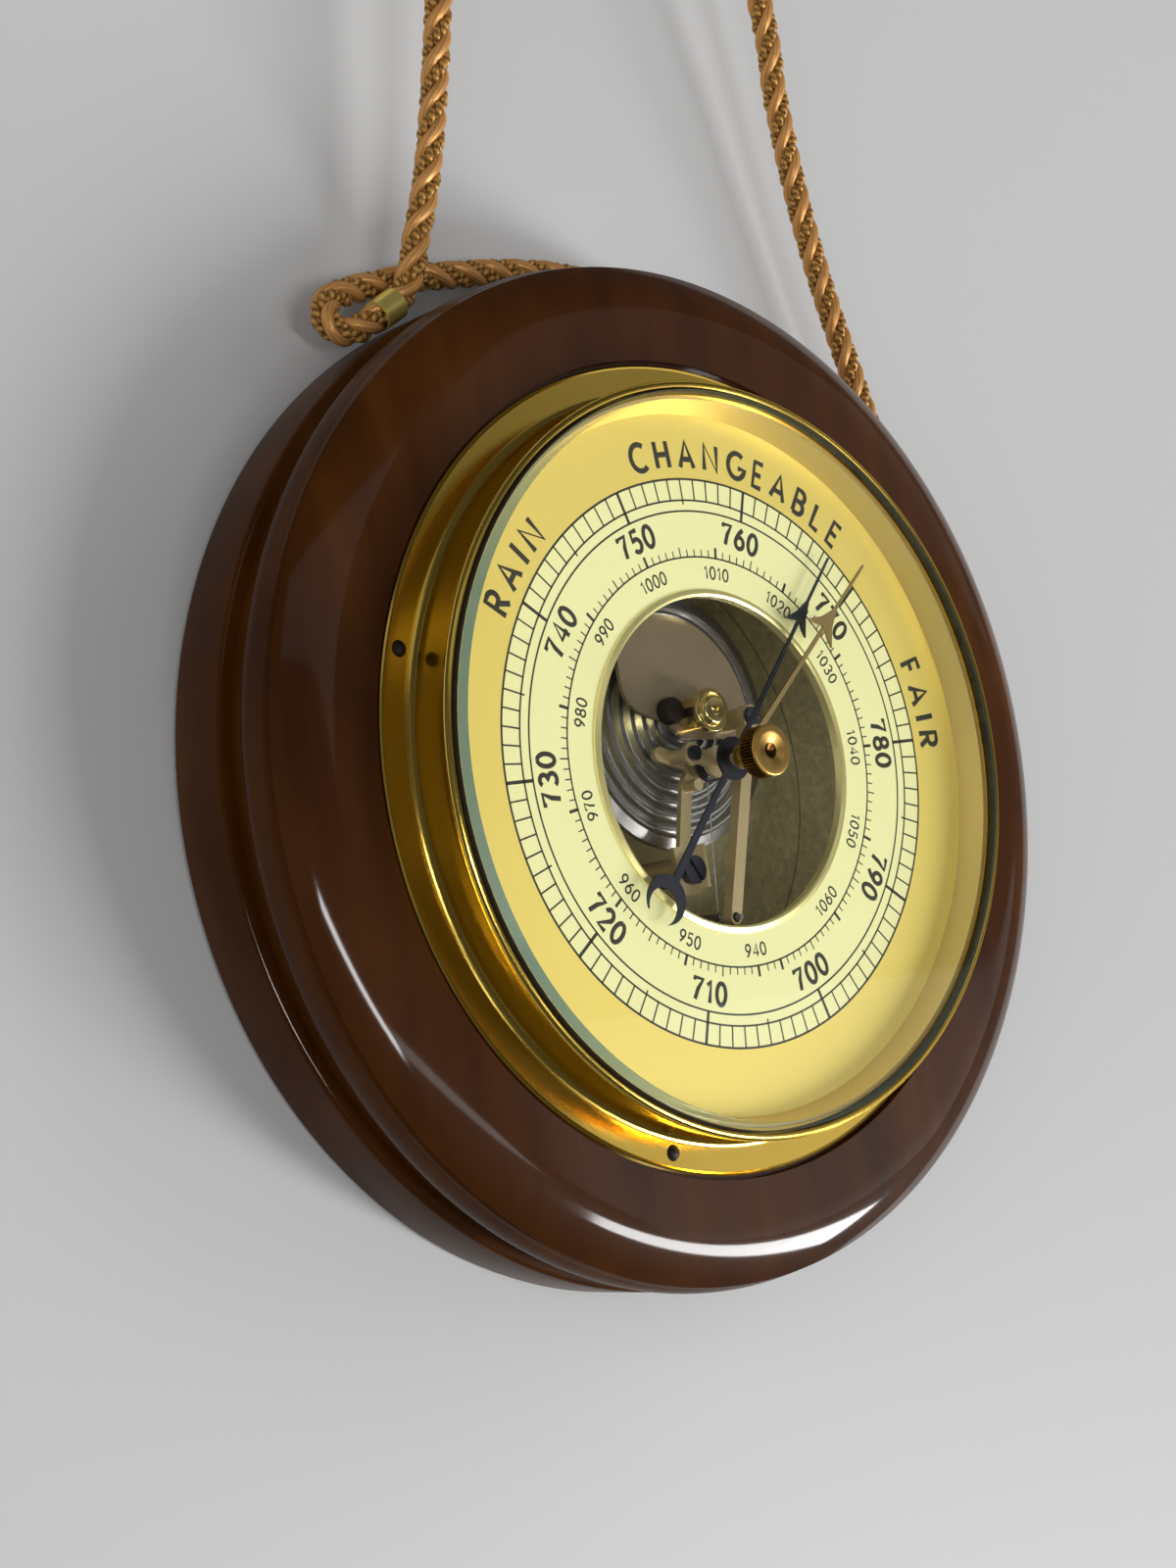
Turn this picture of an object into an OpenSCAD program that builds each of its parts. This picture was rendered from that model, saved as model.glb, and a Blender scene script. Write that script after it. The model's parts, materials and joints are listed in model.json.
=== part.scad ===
// Aneroid wall barometer: a brass-cased dial movement let into a turned wooden ring,
// hung by a twisted cord from a wall peg.
// The wall is the plane Y = 0, the dial faces -Y and the top of the dial is +Z.
// A depth is a distance in front of the wall, so a point at depth d has Y = -d.

/* [Wood] */
// Outer radius of the wooden ring
wood_r = 85; // [83:0.5:87]
// Thickness of the back disc of the wooden ring
back_disc_t = 12.2; // [11:0.1:12.6]
// Depth of the flat front of the wooden ring
wood_front_d = 28; // [27.8:0.1:28.4]
// Radius of the bore that takes the movement case
wood_bore_r = 54; // [53.8:0.1:54.4]

/* [Brass case] */
// Outer radius of the flange that is nailed to the wood
flange_r = 66.8; // [66.5:0.1:67.3]
// Outer radius of the upright wall round the glass
case_wall_r = 61; // [61:0.1:61.2]
// Radius of the circle of the flange nails
nail_circle_r = 64.1; // [64:0.1:64.5]
// Radius of a nail's domed head
nail_head_r = 1.32; // [1.2:0.02:1.4]

/* [Dial] */
// Outer radius of the dial plate
dial_r = 58; // [57.5:0.1:58]
// Radius of the opening in the middle of the dial
dial_opening_r = 27.1; // [26:0.1:28]
// Depth of the dial's front face
dial_d = 31.1; // [31:0.05:31.2]
// Outer radius of the glass
glass_r = 60.05; // [60:0.01:60.1]

/* [Hands] */
// Radius at which the pointer's tip ends
pointer_tip_r = 44.6; // [40:0.1:46]
// Radius at which the set hand's tip ends
set_tip_r = 47.9; // [44:0.1:50]
// Clockwise angle of the pointer from the top of the dial
pointer_angle = 43.3; // [43:0.1:44]
// Clockwise angle of the set hand from the top of the dial
set_angle = 50.3; // [0:0.1:359]
// Radius of the knurled setting knob
knob_r = 4.2; // [3.8:0.05:4.3]

/* [Movement] */
// Radius of the vacuum capsule
capsule_r = 21.8; // [21:0.1:22]
// Height of the capsule's centre above the pointer axis
capsule_z = 8.5; // [8.3:0.1:8.7]
// Number of ripples on the capsule's front
capsule_ripples = 7; // [5:1:8]
// Length of the arm that pulls the chain
chain_arm_l = 13; // [12.9:0.1:13.1]
// Length of the arm that the link moves
link_arm_l = 4; // [3.9:0.1:4.1]

/* [Cord] */
// Diameter of the hanging cord
cord_dia = 4.8; // [4.4:0.1:4.8]
// Number of sides of the cord's solid
cord_sides = 10; // [8:1:12]

/* [Hidden] */
$fn = 96;

groove_r = wood_r - 1.8;
groove_d = 15.1;
bead_r = wood_r + 0.2;
bead_d = 20.5;
crease_r = wood_r - 0.7;
crease_d = 24.7;
torus_inner_r = 74.7;

flange_t = 0.8;
flange_d = 27.6;
flange_seat_d = flange_d - flange_t;
wall_t = 0.8;
wall_top_d = 35.3;
shelf_r = 55.5;
nail_angles = [20, 110, 200, 290];
nail_dome_h = 0.75;
nail_shank_r = 0.8;
nail_tip_d = 15;
nail_clear = 0.05;
fillet_r = 1.5;

cup_floor_d = 7;
cup_t = 0.8;
cup_r = 52.4;
cup_corner_r = 9.5;
cup_rim_d = flange_d;
cup_rim_r = 59.8;

dial_t = 0.8;
seat_inner_r = 56;
glass_back_d = 35.9;
glass_front_d = 38.2;
glass_bore_r = 2.1;
bevel_edge_d = 37.5;
bevel_inner_r = 58.7;
bush_bore_r = 1.25;
set_arbor_r = 1.2;
knob_back_d = 38.5;
knob_front_d = 42;
arbor_end_d = 40.4;
set_hand_d = 35;
set_hand_t = 0.4;
hand_t = 0.4;
pointer_d = 33;
arbor_r = 0.6;
drum_r = 0.85;
chain_r = 0.12;
chain_d = 25.6;
arbor_clear = 0.05;

bridge_back_d = 23.6;
bridge_t = 1;
cock_back_d = 28.6;
cock_t = 0.8;
cock_pos = [-5.3, 1.8];
cock_stud_pos = [-3.2, -3.2];
bridge_foot_pos = [-5.5, -16.8];

plate_back_d = cup_floor_d;
plate_t = 2;
plate_front_d = plate_back_d + plate_t;
capsule_back_d = 13;
capsule_rim_d = 19.8;
capsule_front_d = 22.4;
capsule_hub_d = 23;
capsule_hub_r = 4.4;
post_r = 1.5;
leaf_back_d = 23.6;
leaf_t = 0.8;
leaf_front_d = leaf_back_d + leaf_t;
leaf_stud_pos = [-5, 9.4];
boss_front_d = 30.4;
post_end_d = boss_front_d - 0.8;
leaf_arc_c = [-4.3, 7.5];
leaf_arc_r = 18.2;
spring_left = -20.5;
spring_right = -6.6;
bend_z = 31;
bend_len = 6;
foot_len = 3.5;
bend_depth = (leaf_front_d - plate_front_d) / 2;
bend_d = plate_front_d + bend_depth;
split_angle = 28;
split_gap = 6;

lever_top = [8.7, 6.9];
lever_end = [-2.1, -25.5];
lever_back_d = 28;
lever_t = 2;
lever_w = 2.3;
lever_hole_r = 0.9;
lever_end_r = 1.2;
lever_eye_r = 0.86;
link_r = 0.5;

rocker_pos = [-1.9, -25.1];
rocker_d = chain_d - chain_arm_l;
rocker_tilt = 6.6;
rocker_r = 1;
pivot_r = 0.6;
rocker_left = -8;
rocker_right = 4;
lug_t = 1.5;
link_x = -5;
link_hole_r = 1.1;
link_front_d = lever_back_d - 0.75;
chain_top = 26.3;

peg_pos = [20, 262];
peg_groove_r = 7.6;
peg_turn_r = 10;
peg_groove_d = 27;
peg_plate_d = 4.4;
peg_stem_r = 5;
peg_knob_d = 20.6;

// Centre line of the cord, as [x, y, z]: out of the ferrule, round the small curl on the
// left, over the top of the wood, round the curl on the right, up the right leg, over the
// peg and down the left leg back into the ferrule
CORD_ROUTE = [
    [-37.4, -8.6, 79.9], [-40.6, -8.6, 78.1], [-43.6, -8.5, 76.6], [-46.7, -8.2, 76.2],
    [-48.8, -7.6, 78.2], [-47.8, -6.8, 81.1], [-43.7, -5.9, 83.3], [-37.4, -5, 85],
    [-29.5, -4.4, 86.8], [-20.8, -4.2, 88], [-5.4, -4.2, 89.4], [8, -4.2, 89.2],
    [22, -4.2, 86.3], [38, -4.2, 80.3], [52, -4.2, 72], [62, -4.2, 63.4],
    [70.3, -4.2, 54], [77.7, -4.2, 43.6], [83.2, -4.3, 34.5], [87.6, -4.6, 25.6],
    [90.9, -5, 18.8], [92.8, -6, 13.4], [91.6, -7.4, 9.4], [88.4, -8.3, 10.4],
    [86.8, -8.6, 15], [85.4, -8.8, 21], [83.8, -9.2, 29], [81.6, -9.6, 38.5],
    [78.8, -9.4, 50], [75.1, -8.9, 63.4], [72.7, -8.8, 73], [68.3, -9, 90],
    [64.4, -10, 106.5], [60.8, -12, 124.5], [57.4, -15, 142], [43.6, -21.2, 203],
    [29.8, -27, 262], [20, -27, 272], [10.2, -27, 262], [-5.3, -20.4, 197],
    [-18.6, -14.9, 140], [-22, -13.6, 123.5], [-25, -12.2, 108.8], [-27.6, -11.2, 98.9],
    [-29.8, -10.4, 92.4], [-31.6, -9.7, 86.6], [-33.6, -8.9, 82.8], [-36.6, -8.6, 80.4]
];
cord_steps = 2;

function lerp(a, b, t) = a + (b - a) * t;
function unit(v) = v / norm(v);
function arc_points(cx, cy, r, a0, a1, n) =
    [for (i = [0:n]) [cx + r * cos(lerp(a0, a1, i / n)), cy + r * sin(lerp(a0, a1, i / n))]];
function spline_point(p, i, t) =
    let (last = len(p) - 1,
         a = p[max(i - 1, 0)], b = p[i], c = p[min(i + 1, last)], d = p[min(i + 2, last)])
    0.5 * (2 * b + (c - a) * t + (2 * a - 5 * b + 4 * c - d) * t * t
        + (3 * b - a - 3 * c + d) * t * t * t);
function spline(p, steps) =
    [for (i = [0:len(p) - 2]) for (s = [0:steps - 1]) spline_point(p, i, s / steps),
     p[len(p) - 1]];
function tangent(p, i) = unit(p[min(i + 1, len(p) - 1)] - p[max(i - 1, 0)]);
function carried_normal(n, t) = unit(n - (n * t) * t);
function normals(p, i = 0, found = []) =
    i == len(p) ? found :
    let (t = tangent(p, i), seed = i == 0 ? [0, -1, 0.2] : found[i - 1])
    normals(p, i + 1, concat(found, [carried_normal(seed, t)]));

// Stands a shape drawn in X and Y up in the dial's plane, from depth d over thickness t
module plate_at(d, t) {
    translate([0, -d, 0]) rotate([90, 0, 0]) linear_extrude(t) children();
}

// Turns a profile of [radius, depth] points about the pointer axis
module turned(points) {
    rotate([90, 0, 0]) rotate_extrude() polygon(points);
}

// Round bar along Y at [x, z], from depth d0 to depth d1
module pin_at(pos, r, d0, d1) {
    translate([pos[0], -d0, pos[1]]) rotate([90, 0, 0]) cylinder(r = r, h = d1 - d0);
}

// Flat strip with round ends from p to q
module strip(p, q, w) {
    v = q - p;
    translate(p) rotate(atan2(v[1], v[0])) translate([0, -w / 2]) square([norm(v), w]);
    translate(p) circle(d = w);
    translate(q) circle(d = w);
}

// Carries a shape to the rocking shaft's own axes: X along the shaft, Z up the chain
module rocker_frame() {
    translate([rocker_pos[0], -rocker_d, rocker_pos[1]]) rotate([0, rocker_tilt, 0]) children();
}

// Tube of the given diameter along a centre line
module swept_tube(points, dia, sides) {
    ring_normals = normals(points);
    rings = len(points);
    vertices = [for (i = [0:rings - 1])
        let (t = tangent(points, i), n = ring_normals[i], b = cross(t, n))
        for (k = [0:sides - 1])
            points[i] + dia / 2 * (cos(360 * k / sides) * n + sin(360 * k / sides) * b)];
    skin = [for (i = [0:rings - 2]) for (k = [0:sides - 1])
        let (a = i * sides + k, b = i * sides + (k + 1) % sides)
        each [[a, b, a + sides], [b, b + sides, a + sides]]];
    start_cap = [for (k = [1:sides - 2]) [0, k + 1, k]];
    end_cap = [for (k = [1:sides - 2])
        (rings - 1) * sides * [1, 1, 1] + [0, k, k + 1]];
    polyhedron(vertices, [for (f = concat(skin, start_cap, end_cap)) [f[0], f[2], f[1]]]);
}

module wood_base() {
    torus_sweep = asin((crease_r - torus_inner_r) / 15.6);
    color("#4a2413") difference() {
        turned(concat(
            [[wood_bore_r, 0], [wood_r - 1, 0], [wood_r, 1], [wood_r, back_disc_t - 0.8],
             [wood_r - 0.8, back_disc_t], [groove_r - 0.6, back_disc_t + 0.4],
             [groove_r - 0.6, groove_d - 0.5]],
            arc_points(bead_r - 6, bead_d, 6, -60, 50, 10),
            [[crease_r, crease_d]],
            arc_points(torus_inner_r, wood_front_d - 15.6, 15.6, 90 - torus_sweep + 2, 90, 8),
            [[flange_r + 0.7, wood_front_d - 0.05], [flange_r + 0.7, flange_seat_d],
             [wood_bore_r, flange_seat_d]]));
        for (a = nail_angles)
            pin_at(nail_circle_r * [sin(a), cos(a)], nail_shank_r + nail_clear,
                nail_tip_d - 0.5, flange_seat_d + 1);
    }
}

module brass_case() {
    color("#c99a3a") difference() {
        turned(concat(
            [[shelf_r, flange_seat_d], [flange_r, flange_seat_d], [flange_r, flange_d - 0.1],
             [flange_r - 0.3, flange_d + 0.1], [flange_r - 0.6, flange_d]],
            arc_points(case_wall_r + fillet_r, flange_d + fillet_r, fillet_r, 270, 180, 8),
            [[case_wall_r, wall_top_d], [case_wall_r - wall_t, wall_top_d],
             [case_wall_r - wall_t, flange_d], [shelf_r, flange_d]]));
        for (a = nail_angles)
            pin_at(nail_circle_r * [sin(a), cos(a)], nail_shank_r + nail_clear,
                flange_seat_d - 1, flange_d + 1);
    }
}

module case_cup() {
    corner_c = cup_r - cup_corner_r;
    color("#8f7d45") difference() {
        turned(concat(
            [[0, cup_floor_d - cup_t]],
            arc_points(corner_c, cup_floor_d + cup_corner_r, cup_corner_r + cup_t, -90, 0, 12),
            [[cup_r + cup_t, cup_rim_d], [cup_rim_r, cup_rim_d], [cup_rim_r, cup_rim_d + 0.7],
             [cup_r, cup_rim_d + 0.7]],
            arc_points(corner_c, cup_floor_d + cup_corner_r, cup_corner_r, 0, -90, 12),
            [[0, cup_floor_d]]));
        for (p = screw_places())
            pin_at(p, 1.6, cup_floor_d - cup_t - 1, cup_floor_d + 1);
        pin_at([0, capsule_z], 2.1, cup_floor_d - cup_t - 1, cup_floor_d + 1);
    }
}

function screw_places() = [[-9, 36], [9, 36], [-9, -20]];

module dial_seat() {
    color("#7d6a3c") turned([
        [seat_inner_r, cup_rim_d + 0.7], [cup_rim_r, cup_rim_d + 0.7],
        [cup_rim_r, dial_d - dial_t], [seat_inner_r, dial_d - dial_t]]);
}

module dial_plate() {
    color("#d9c676") turned([
        [dial_opening_r + 0.55, dial_d - dial_t], [dial_r, dial_d - dial_t],
        [dial_r, dial_d], [dial_opening_r + 0.55, dial_d]]);
}

module opening_trim() {
    color("#e2bf55") turned([
        [dial_opening_r, dial_d - dial_t - 0.3], [dial_opening_r + 0.5, dial_d - dial_t - 0.3],
        [dial_opening_r + 0.5, dial_d], [dial_opening_r + 1.3, dial_d],
        [dial_opening_r + 1.2, dial_d + 0.3], [dial_opening_r + 0.4, dial_d + 0.55],
        [dial_opening_r, dial_d + 0.4]]);
}

module reflector_ring() {
    color("#d8b254") turned([
        [dial_r - 0.35, dial_d], [dial_r + 0.15, dial_d], [59.55, 35.4], [59.05, 35.4]]);
}

module bezel_ring() {
    bead_c = [case_wall_r, 36.2];
    color("#caa040") turned(concat(
        [[59.55, 35.4], [60.9, 35.4]],
        arc_points(bead_c[0], bead_c[1], 0.8, -80, 130, 14),
        [[60.45, 36.4], [60.45, glass_back_d], [59.55, glass_back_d]]));
}

module glass_seal() {
    color("#1a1611") turned([
        [glass_r + 0.05, glass_back_d], [60.35, glass_back_d], [60.35, 36.4],
        [60.2, bevel_edge_d - 0.1], [glass_r + 0.05, bevel_edge_d]]);
}

module glass() {
    color("#cfe0e0", 0.25) turned([
        [glass_bore_r, glass_back_d], [glass_r, glass_back_d], [glass_r, bevel_edge_d],
        [bevel_inner_r, glass_front_d], [glass_bore_r, glass_front_d]]);
}

module glass_bush() {
    color("#b9892f") turned([
        [bush_bore_r, glass_back_d], [glass_bore_r, glass_back_d],
        [glass_bore_r, glass_front_d], [bush_bore_r, glass_front_d]]);
}

module knob_washer() {
    color("#b9892f") turned([
        [bush_bore_r, glass_front_d], [3, glass_front_d], [3, glass_front_d + 0.25],
        [bush_bore_r, glass_front_d + 0.25]]);
}

module set_knob() {
    knurls = 36;
    color("#b57a28") difference() {
        turned([
            [set_arbor_r, knob_back_d], [knob_r - 0.25, knob_back_d],
            [knob_r, knob_back_d + 0.25], [knob_r, knob_front_d - 0.5],
            [knob_r - 0.35, knob_front_d - 0.1], [2.8, knob_front_d],
            [1, knob_front_d - 0.6], [0, knob_front_d - 1.1], [0, arbor_end_d],
            [set_arbor_r, arbor_end_d]]);
        for (k = [0:knurls - 1])
            pin_at((knob_r + 0.12) * [sin(360 * k / knurls), cos(360 * k / knurls)],
                0.22, knob_back_d + 0.5, knob_front_d - 0.6, $fn = 6);
    }
}

module set_arbor() {
    color("#b9892f") union() {
        pin_at([0, 0], set_arbor_r, set_hand_d + set_hand_t / 2, arbor_end_d);
        pin_at([0, 0], set_arbor_r - 0.1, 34.65, set_hand_d + set_hand_t / 2);
    }
}

// Needle with an arrow head, drawn along +Y from the hub to the tip
module hand_outline(hub_r, tip_r, barb_at, barb_w, root_w, tip_w) {
    function half_w(y) = lerp(root_w, tip_w, y / tip_r) / 2;
    neck = barb_at + 1.4;
    shoulder = barb_at + 2.8;
    point = barb_at + 6;
    right = [
        [root_w / 2, 0], [half_w(neck), neck], [barb_w * 0.5, barb_at + 0.6],
        [barb_w, barb_at], [barb_w * 0.42, shoulder], [half_w(point), point],
        [tip_w / 2, tip_r]];
    circle(r = hub_r);
    polygon(concat(right, [for (i = [len(right) - 1:-1:0]) [-right[i][0], right[i][1]]]));
}

module set_hand() {
    color("#b88a35") plate_at(set_hand_d - set_hand_t / 2, set_hand_t)
        rotate(-set_angle) difference() {
            hand_outline(2, set_tip_r, 30.2, 3.4, 1.1, 0.35);
            circle(r = set_arbor_r - 0.1);
        }
}

module pointer() {
    color("#1d2433") plate_at(pointer_d - hand_t / 2, hand_t)
        rotate(-pointer_angle) difference() {
            union() {
                hand_outline(3.6, pointer_tip_r, 28.6, 2.7, 1, 0.3);
                polygon([[-0.45, 0], [0.45, 0], [0.7, -25.6], [-0.7, -25.6]]);
                difference() {
                    translate([0, -28.8]) circle(r = 4.05);
                    translate([0, -30.1]) circle(r = 3.05);
                    translate([-6, -38]) square([12, 5.4]);
                }
            }
            circle(r = arbor_r);
        }
}

module pointer_arbor() {
    color("#c8a04a") union() {
        pin_at([0, 0], arbor_r, 24, pointer_d + hand_t / 2);
        pin_at([0, 0], 1.3, 31, pointer_d - hand_t / 2);
        pin_at([0, 0], 1, pointer_d + hand_t / 2, 34);
    }
}

module chain_drum() {
    color("#c8a04a") turned([
        [arbor_r, 25], [2, 25], [2, 25.2], [drum_r, 25.2], [drum_r, 26], [2, 26], [2, 26.2],
        [arbor_r, 26.2]]);
}

module hairspring() {
    turns = 3;
    steps = turns * 16;
    inner_r = 1.5;
    outer_r = 3.1;
    wire = 0.14;
    function at(i, off) =
        let (r = lerp(inner_r, outer_r, i / steps) + off) r * [cos(360 * i / 16), sin(360 * i / 16)];
    color("#35405a") plate_at(27, 0.6) polygon(concat(
        [for (i = [0:steps]) at(i, 0)], [for (i = [steps:-1:0]) at(i, wire)]));
}

module chain() {
    color("#9aa0a8") rocker_frame() translate([0, -chain_arm_l, 1])
        cylinder(r = chain_r, h = chain_top - 1, $fn = 16);
}

module pointer_bridge() {
    color("#b59a5c") plate_at(bridge_back_d, bridge_t) difference() {
        union() {
            circle(r = 2.6);
            strip([0, 0], [-8, 2.6], 2.4);
            strip([-1, -1], cock_stud_pos, 2.6);
            strip(cock_stud_pos, [-6, -13.4], 2.3);
            translate([-8.4, -20.8]) square([4.8, 8.1]);
            translate([-8.4, -19.9]) square([7.1, 7.2]);
        }
        circle(r = arbor_r + arbor_clear);
        translate(bridge_foot_pos) circle(r = 1.3);
    }
}

module pointer_cock() {
    color("#c8a04a") plate_at(cock_back_d, cock_t) difference() {
        union() {
            circle(r = 2.6);
            strip([0, 0], cock_pos, 2.6);
            translate(cock_pos) circle(r = 1.9);
            translate([0, -2.3]) square([1.7, 5]);
        }
        circle(r = arbor_r + arbor_clear);
        translate(cock_pos) circle(r = 0.75);
    }
}

module cock_pillars() {
    color("#c8a04a") {
        difference() {
            pin_at(cock_pos, 1.3, bridge_back_d + bridge_t, cock_back_d);
            pin_at(cock_pos, 0.65, bridge_back_d + bridge_t + 1, cock_back_d + 1);
        }
        pin_at(cock_stud_pos, 1, bridge_back_d + bridge_t, 27.4);
    }
}

// Round screw head with a slot at angle a, from depth d0 to depth d1
module slotted_head(pos, r, d0, d1, slot_w, a) {
    difference() {
        pin_at(pos, r, d0, d1);
        translate([pos[0], -d1, pos[1]]) rotate([0, a, 0])
            cube([3 * r, (d1 - d0), slot_w], center = true);
    }
}

module cock_screw() {
    color("#26304a") {
        slotted_head(cock_pos, 1.25, cock_back_d + cock_t, cock_back_d + cock_t + 0.8, 0.3, 30);
        pin_at(cock_pos, 0.6, bridge_back_d + bridge_t + 1.2, cock_back_d + cock_t + 0.2);
    }
}

module bridge_pillar() {
    color("#c8a04a") difference() {
        pin_at(bridge_foot_pos, 2.4, plate_front_d, bridge_back_d);
        pin_at(bridge_foot_pos, 1.15, 16, bridge_back_d + 1);
    }
}

module bridge_screw() {
    front_d = bridge_back_d + bridge_t;
    color("#26304a") {
        slotted_head(bridge_foot_pos, 2.35, front_d, front_d + 1.4, 0.55, 60);
        pin_at(bridge_foot_pos, 1.1, 16.4, front_d + 0.3);
    }
}

module movement_plate() {
    color("#9a8b66") difference() {
        plate_at(plate_back_d, plate_t) difference() {
            union() {
                translate([-12, -31]) square([18, 20]);
                translate([-12, -14]) square([24, 52]);
                translate([-21, 27]) square([15, 10.2]);
            }
            translate([0, capsule_z]) circle(r = 2.1);
        }
        for (p = screw_places())
            pin_at(p, 1.3, plate_back_d - 1, plate_front_d + 1);
    }
}

module shaft_bracket() {
    lug_low = plate_front_d - rocker_d;
    color("#b59a5c") rocker_frame() difference() {
        for (x = [rocker_left - lug_t, rocker_right])
            translate([x, -2.2, -2.2]) cube([lug_t, 2.2 - lug_low, 4.4]);
        translate([rocker_left - 2 * lug_t, 0, 0]) rotate([0, 90, 0])
            cylinder(r = pivot_r + arbor_clear, h = rocker_right - rocker_left + 4 * lug_t);
    }
}

module rocker_shaft() {
    color("#8d8f94") rocker_frame() rotate([0, 90, 0]) {
        translate([0, 0, rocker_left + 0.3])
            cylinder(r = rocker_r, h = rocker_right - rocker_left - 0.6);
        translate([0, 0, rocker_left - lug_t + 0.2])
            cylinder(r = pivot_r, h = rocker_right - rocker_left + 2 * lug_t - 0.4);
    }
}

module chain_arm() {
    color("#8d8f94") rocker_frame() difference() {
        translate([-0.5, 0, 0]) rotate([90, 0, 90]) linear_extrude(1) union() {
            circle(r = 2);
            polygon([[0, -1.2], [0, 1.2], [-chain_arm_l, 0.6], [-chain_arm_l, -0.6]]);
            translate([-chain_arm_l, 0]) circle(r = 0.6);
        }
        translate([-1, 0, 0]) rotate([0, 90, 0]) cylinder(r = rocker_r, h = 2);
    }
}

module link_arm() {
    color("#8d8f94") rocker_frame() difference() {
        union() {
            translate([link_x - 1.7, -0.5, -link_arm_l - 1.7]) cube([3.4, 1, link_arm_l + 1.7]);
            translate([link_x - 1.7, 0, 0]) rotate([0, 90, 0]) cylinder(r = 1.7, h = 3.4);
        }
        translate([link_x - 2, 0, 0]) rotate([0, 90, 0]) cylinder(r = rocker_r, h = 4);
        translate([link_x, 2, -link_arm_l]) rotate([90, 0, 0]) cylinder(r = link_hole_r, h = 4);
    }
}

// Place of the link's hole on the rocking shaft, as [x, z]
function link_foot() = rocker_pos
    + link_x * [cos(rocker_tilt), -sin(rocker_tilt)]
    - link_arm_l * [sin(rocker_tilt), cos(rocker_tilt)];

// Bent wire: a pin through the lever's end, a bar to the left and a leg back to the shaft
module link() {
    foot = link_foot();
    v = foot - lever_end;
    color("#a9abb0") {
        pin_at(foot, link_r, rocker_d - 2.4, link_front_d);
        pin_at(lever_end, link_r, link_front_d, lever_back_d + lever_t + 1.2);
        for (p = [foot, lever_end])
            translate([p[0], -link_front_d, p[1]]) sphere(r = link_r + 0.12);
        translate([foot[0], -link_front_d, foot[1]]) rotate([0, -atan2(v[1], v[0]), 0])
            rotate([0, -90, 0]) cylinder(r = link_r, h = norm(v));
    }
}

module capsule() {
    ripple_span = capsule_r - 6.4;
    ripple_steps = capsule_ripples * 6;
    front = [for (i = [ripple_steps:-1:0])
        let (r = 4.6 + ripple_span * i / ripple_steps)
        [r, lerp(capsule_front_d, capsule_rim_d + 0.5, i / ripple_steps)
            - 0.5 * sin(360 * capsule_ripples * i / ripple_steps)]];
    color("#b9b4a8") translate([0, 0, capsule_z]) difference() {
        turned(concat(
            [[0, plate_front_d + 0.1], [5, plate_front_d + 0.1], [5, capsule_back_d],
             [capsule_r - 2.4, capsule_back_d + 1.2], [capsule_r - 1.4, capsule_rim_d - 1.4],
             [capsule_r, capsule_rim_d - 1.2], [capsule_r, capsule_rim_d]],
            front,
            [[capsule_hub_r, capsule_hub_d], [0, capsule_hub_d]]));
        pin_at([0, 0], post_r + 0.4, 19.6, capsule_hub_d + 1);
    }
}

module capsule_post() {
    color("#b9892f") pin_at([0, capsule_z], post_r, 20.6, post_end_d);
}

module post_boss() {
    color("#caa040") translate([0, 0, capsule_z]) turned(concat(
        [[post_r, leaf_front_d], [2.6, leaf_front_d], [2.6, boss_front_d - 1.4],
         [3.6, boss_front_d - 1.2], [3.6, boss_front_d]],
        arc_points(0, boss_front_d - 4.5, 5.5, 56, 90, 6),
        [[0, post_end_d], [post_r, post_end_d]]));
}

module leaf_stud() {
    color("#20222a") translate([leaf_stud_pos[0], 0, leaf_stud_pos[1]]) turned([
        [0, leaf_front_d], [2.1, leaf_front_d], [2.25, 24.7], [2.25, 26.2], [1.9, 26.7],
        [0, 27]]);
}

// Outline of the leaf: a paddle whose right edge is round, narrowed upwards to the bend
module leaf_outline() {
    polygon(concat(
        [[spring_left, bend_z], [spring_left, 26], [-13.9, 20.5], [-13.9, 14.5],
         [-13.5, 12.6], [-12.6, 11.1], [-11.2, 9.9], [-9.3, 9.1], [-7, 8.3], [-5, 7.5],
         [-3.6, 6], [-2.2, 4.9], [0, 4.5], [6, 4.2], [8.7, 4.1], [11, 4.5], [12.8, 5.7]],
        arc_points(leaf_arc_c[0], leaf_arc_c[1], leaf_arc_r, 0, 96, 16),
        [[spring_right, 26.6], [spring_right, bend_z]]));
}

// Curve of the bend in the [z, depth] plane, from angle a0 to a1, moved inwards by off
function bend_points(off, a0, a1, n) = [for (i = [0:n])
    let (a = lerp(a0, a1, i / n))
    [bend_z + (bend_len - off) * sin(a), bend_d + (bend_depth - off) * cos(a)]];

module bend_profile(a0, a1) {
    polygon(concat(bend_points(0, a0, a1, 14), bend_points(leaf_t, a1, a0, 14)));
}

// Carries a shape drawn in [z, depth] across the spring's width
module across_spring() {
    translate([spring_left, 0, 0]) rotate([90, 0, 90]) rotate(90)
        linear_extrude(spring_right - spring_left) children();
}

module leaf_spring() {
    color("#6f6558") difference() {
        union() {
            plate_at(leaf_back_d, leaf_t) leaf_outline();
            across_spring() bend_profile(0, split_angle);
        }
        pin_at([0, capsule_z], post_r, 20, 28);
        pin_at(lever_top, lever_hole_r, 20, 28);
    }
}

module spring_bend() {
    color("#6f6558") across_spring() {
        bend_profile(split_angle + split_gap, 180);
        translate([bend_z - foot_len, plate_front_d]) square([foot_len, leaf_t]);
    }
}

module lever_spacer() {
    color("#c8a04a") difference() {
        pin_at(lever_top, 1.8, leaf_front_d, lever_back_d);
        pin_at(lever_top, lever_hole_r, leaf_back_d, lever_back_d + 1);
    }
}

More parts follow.
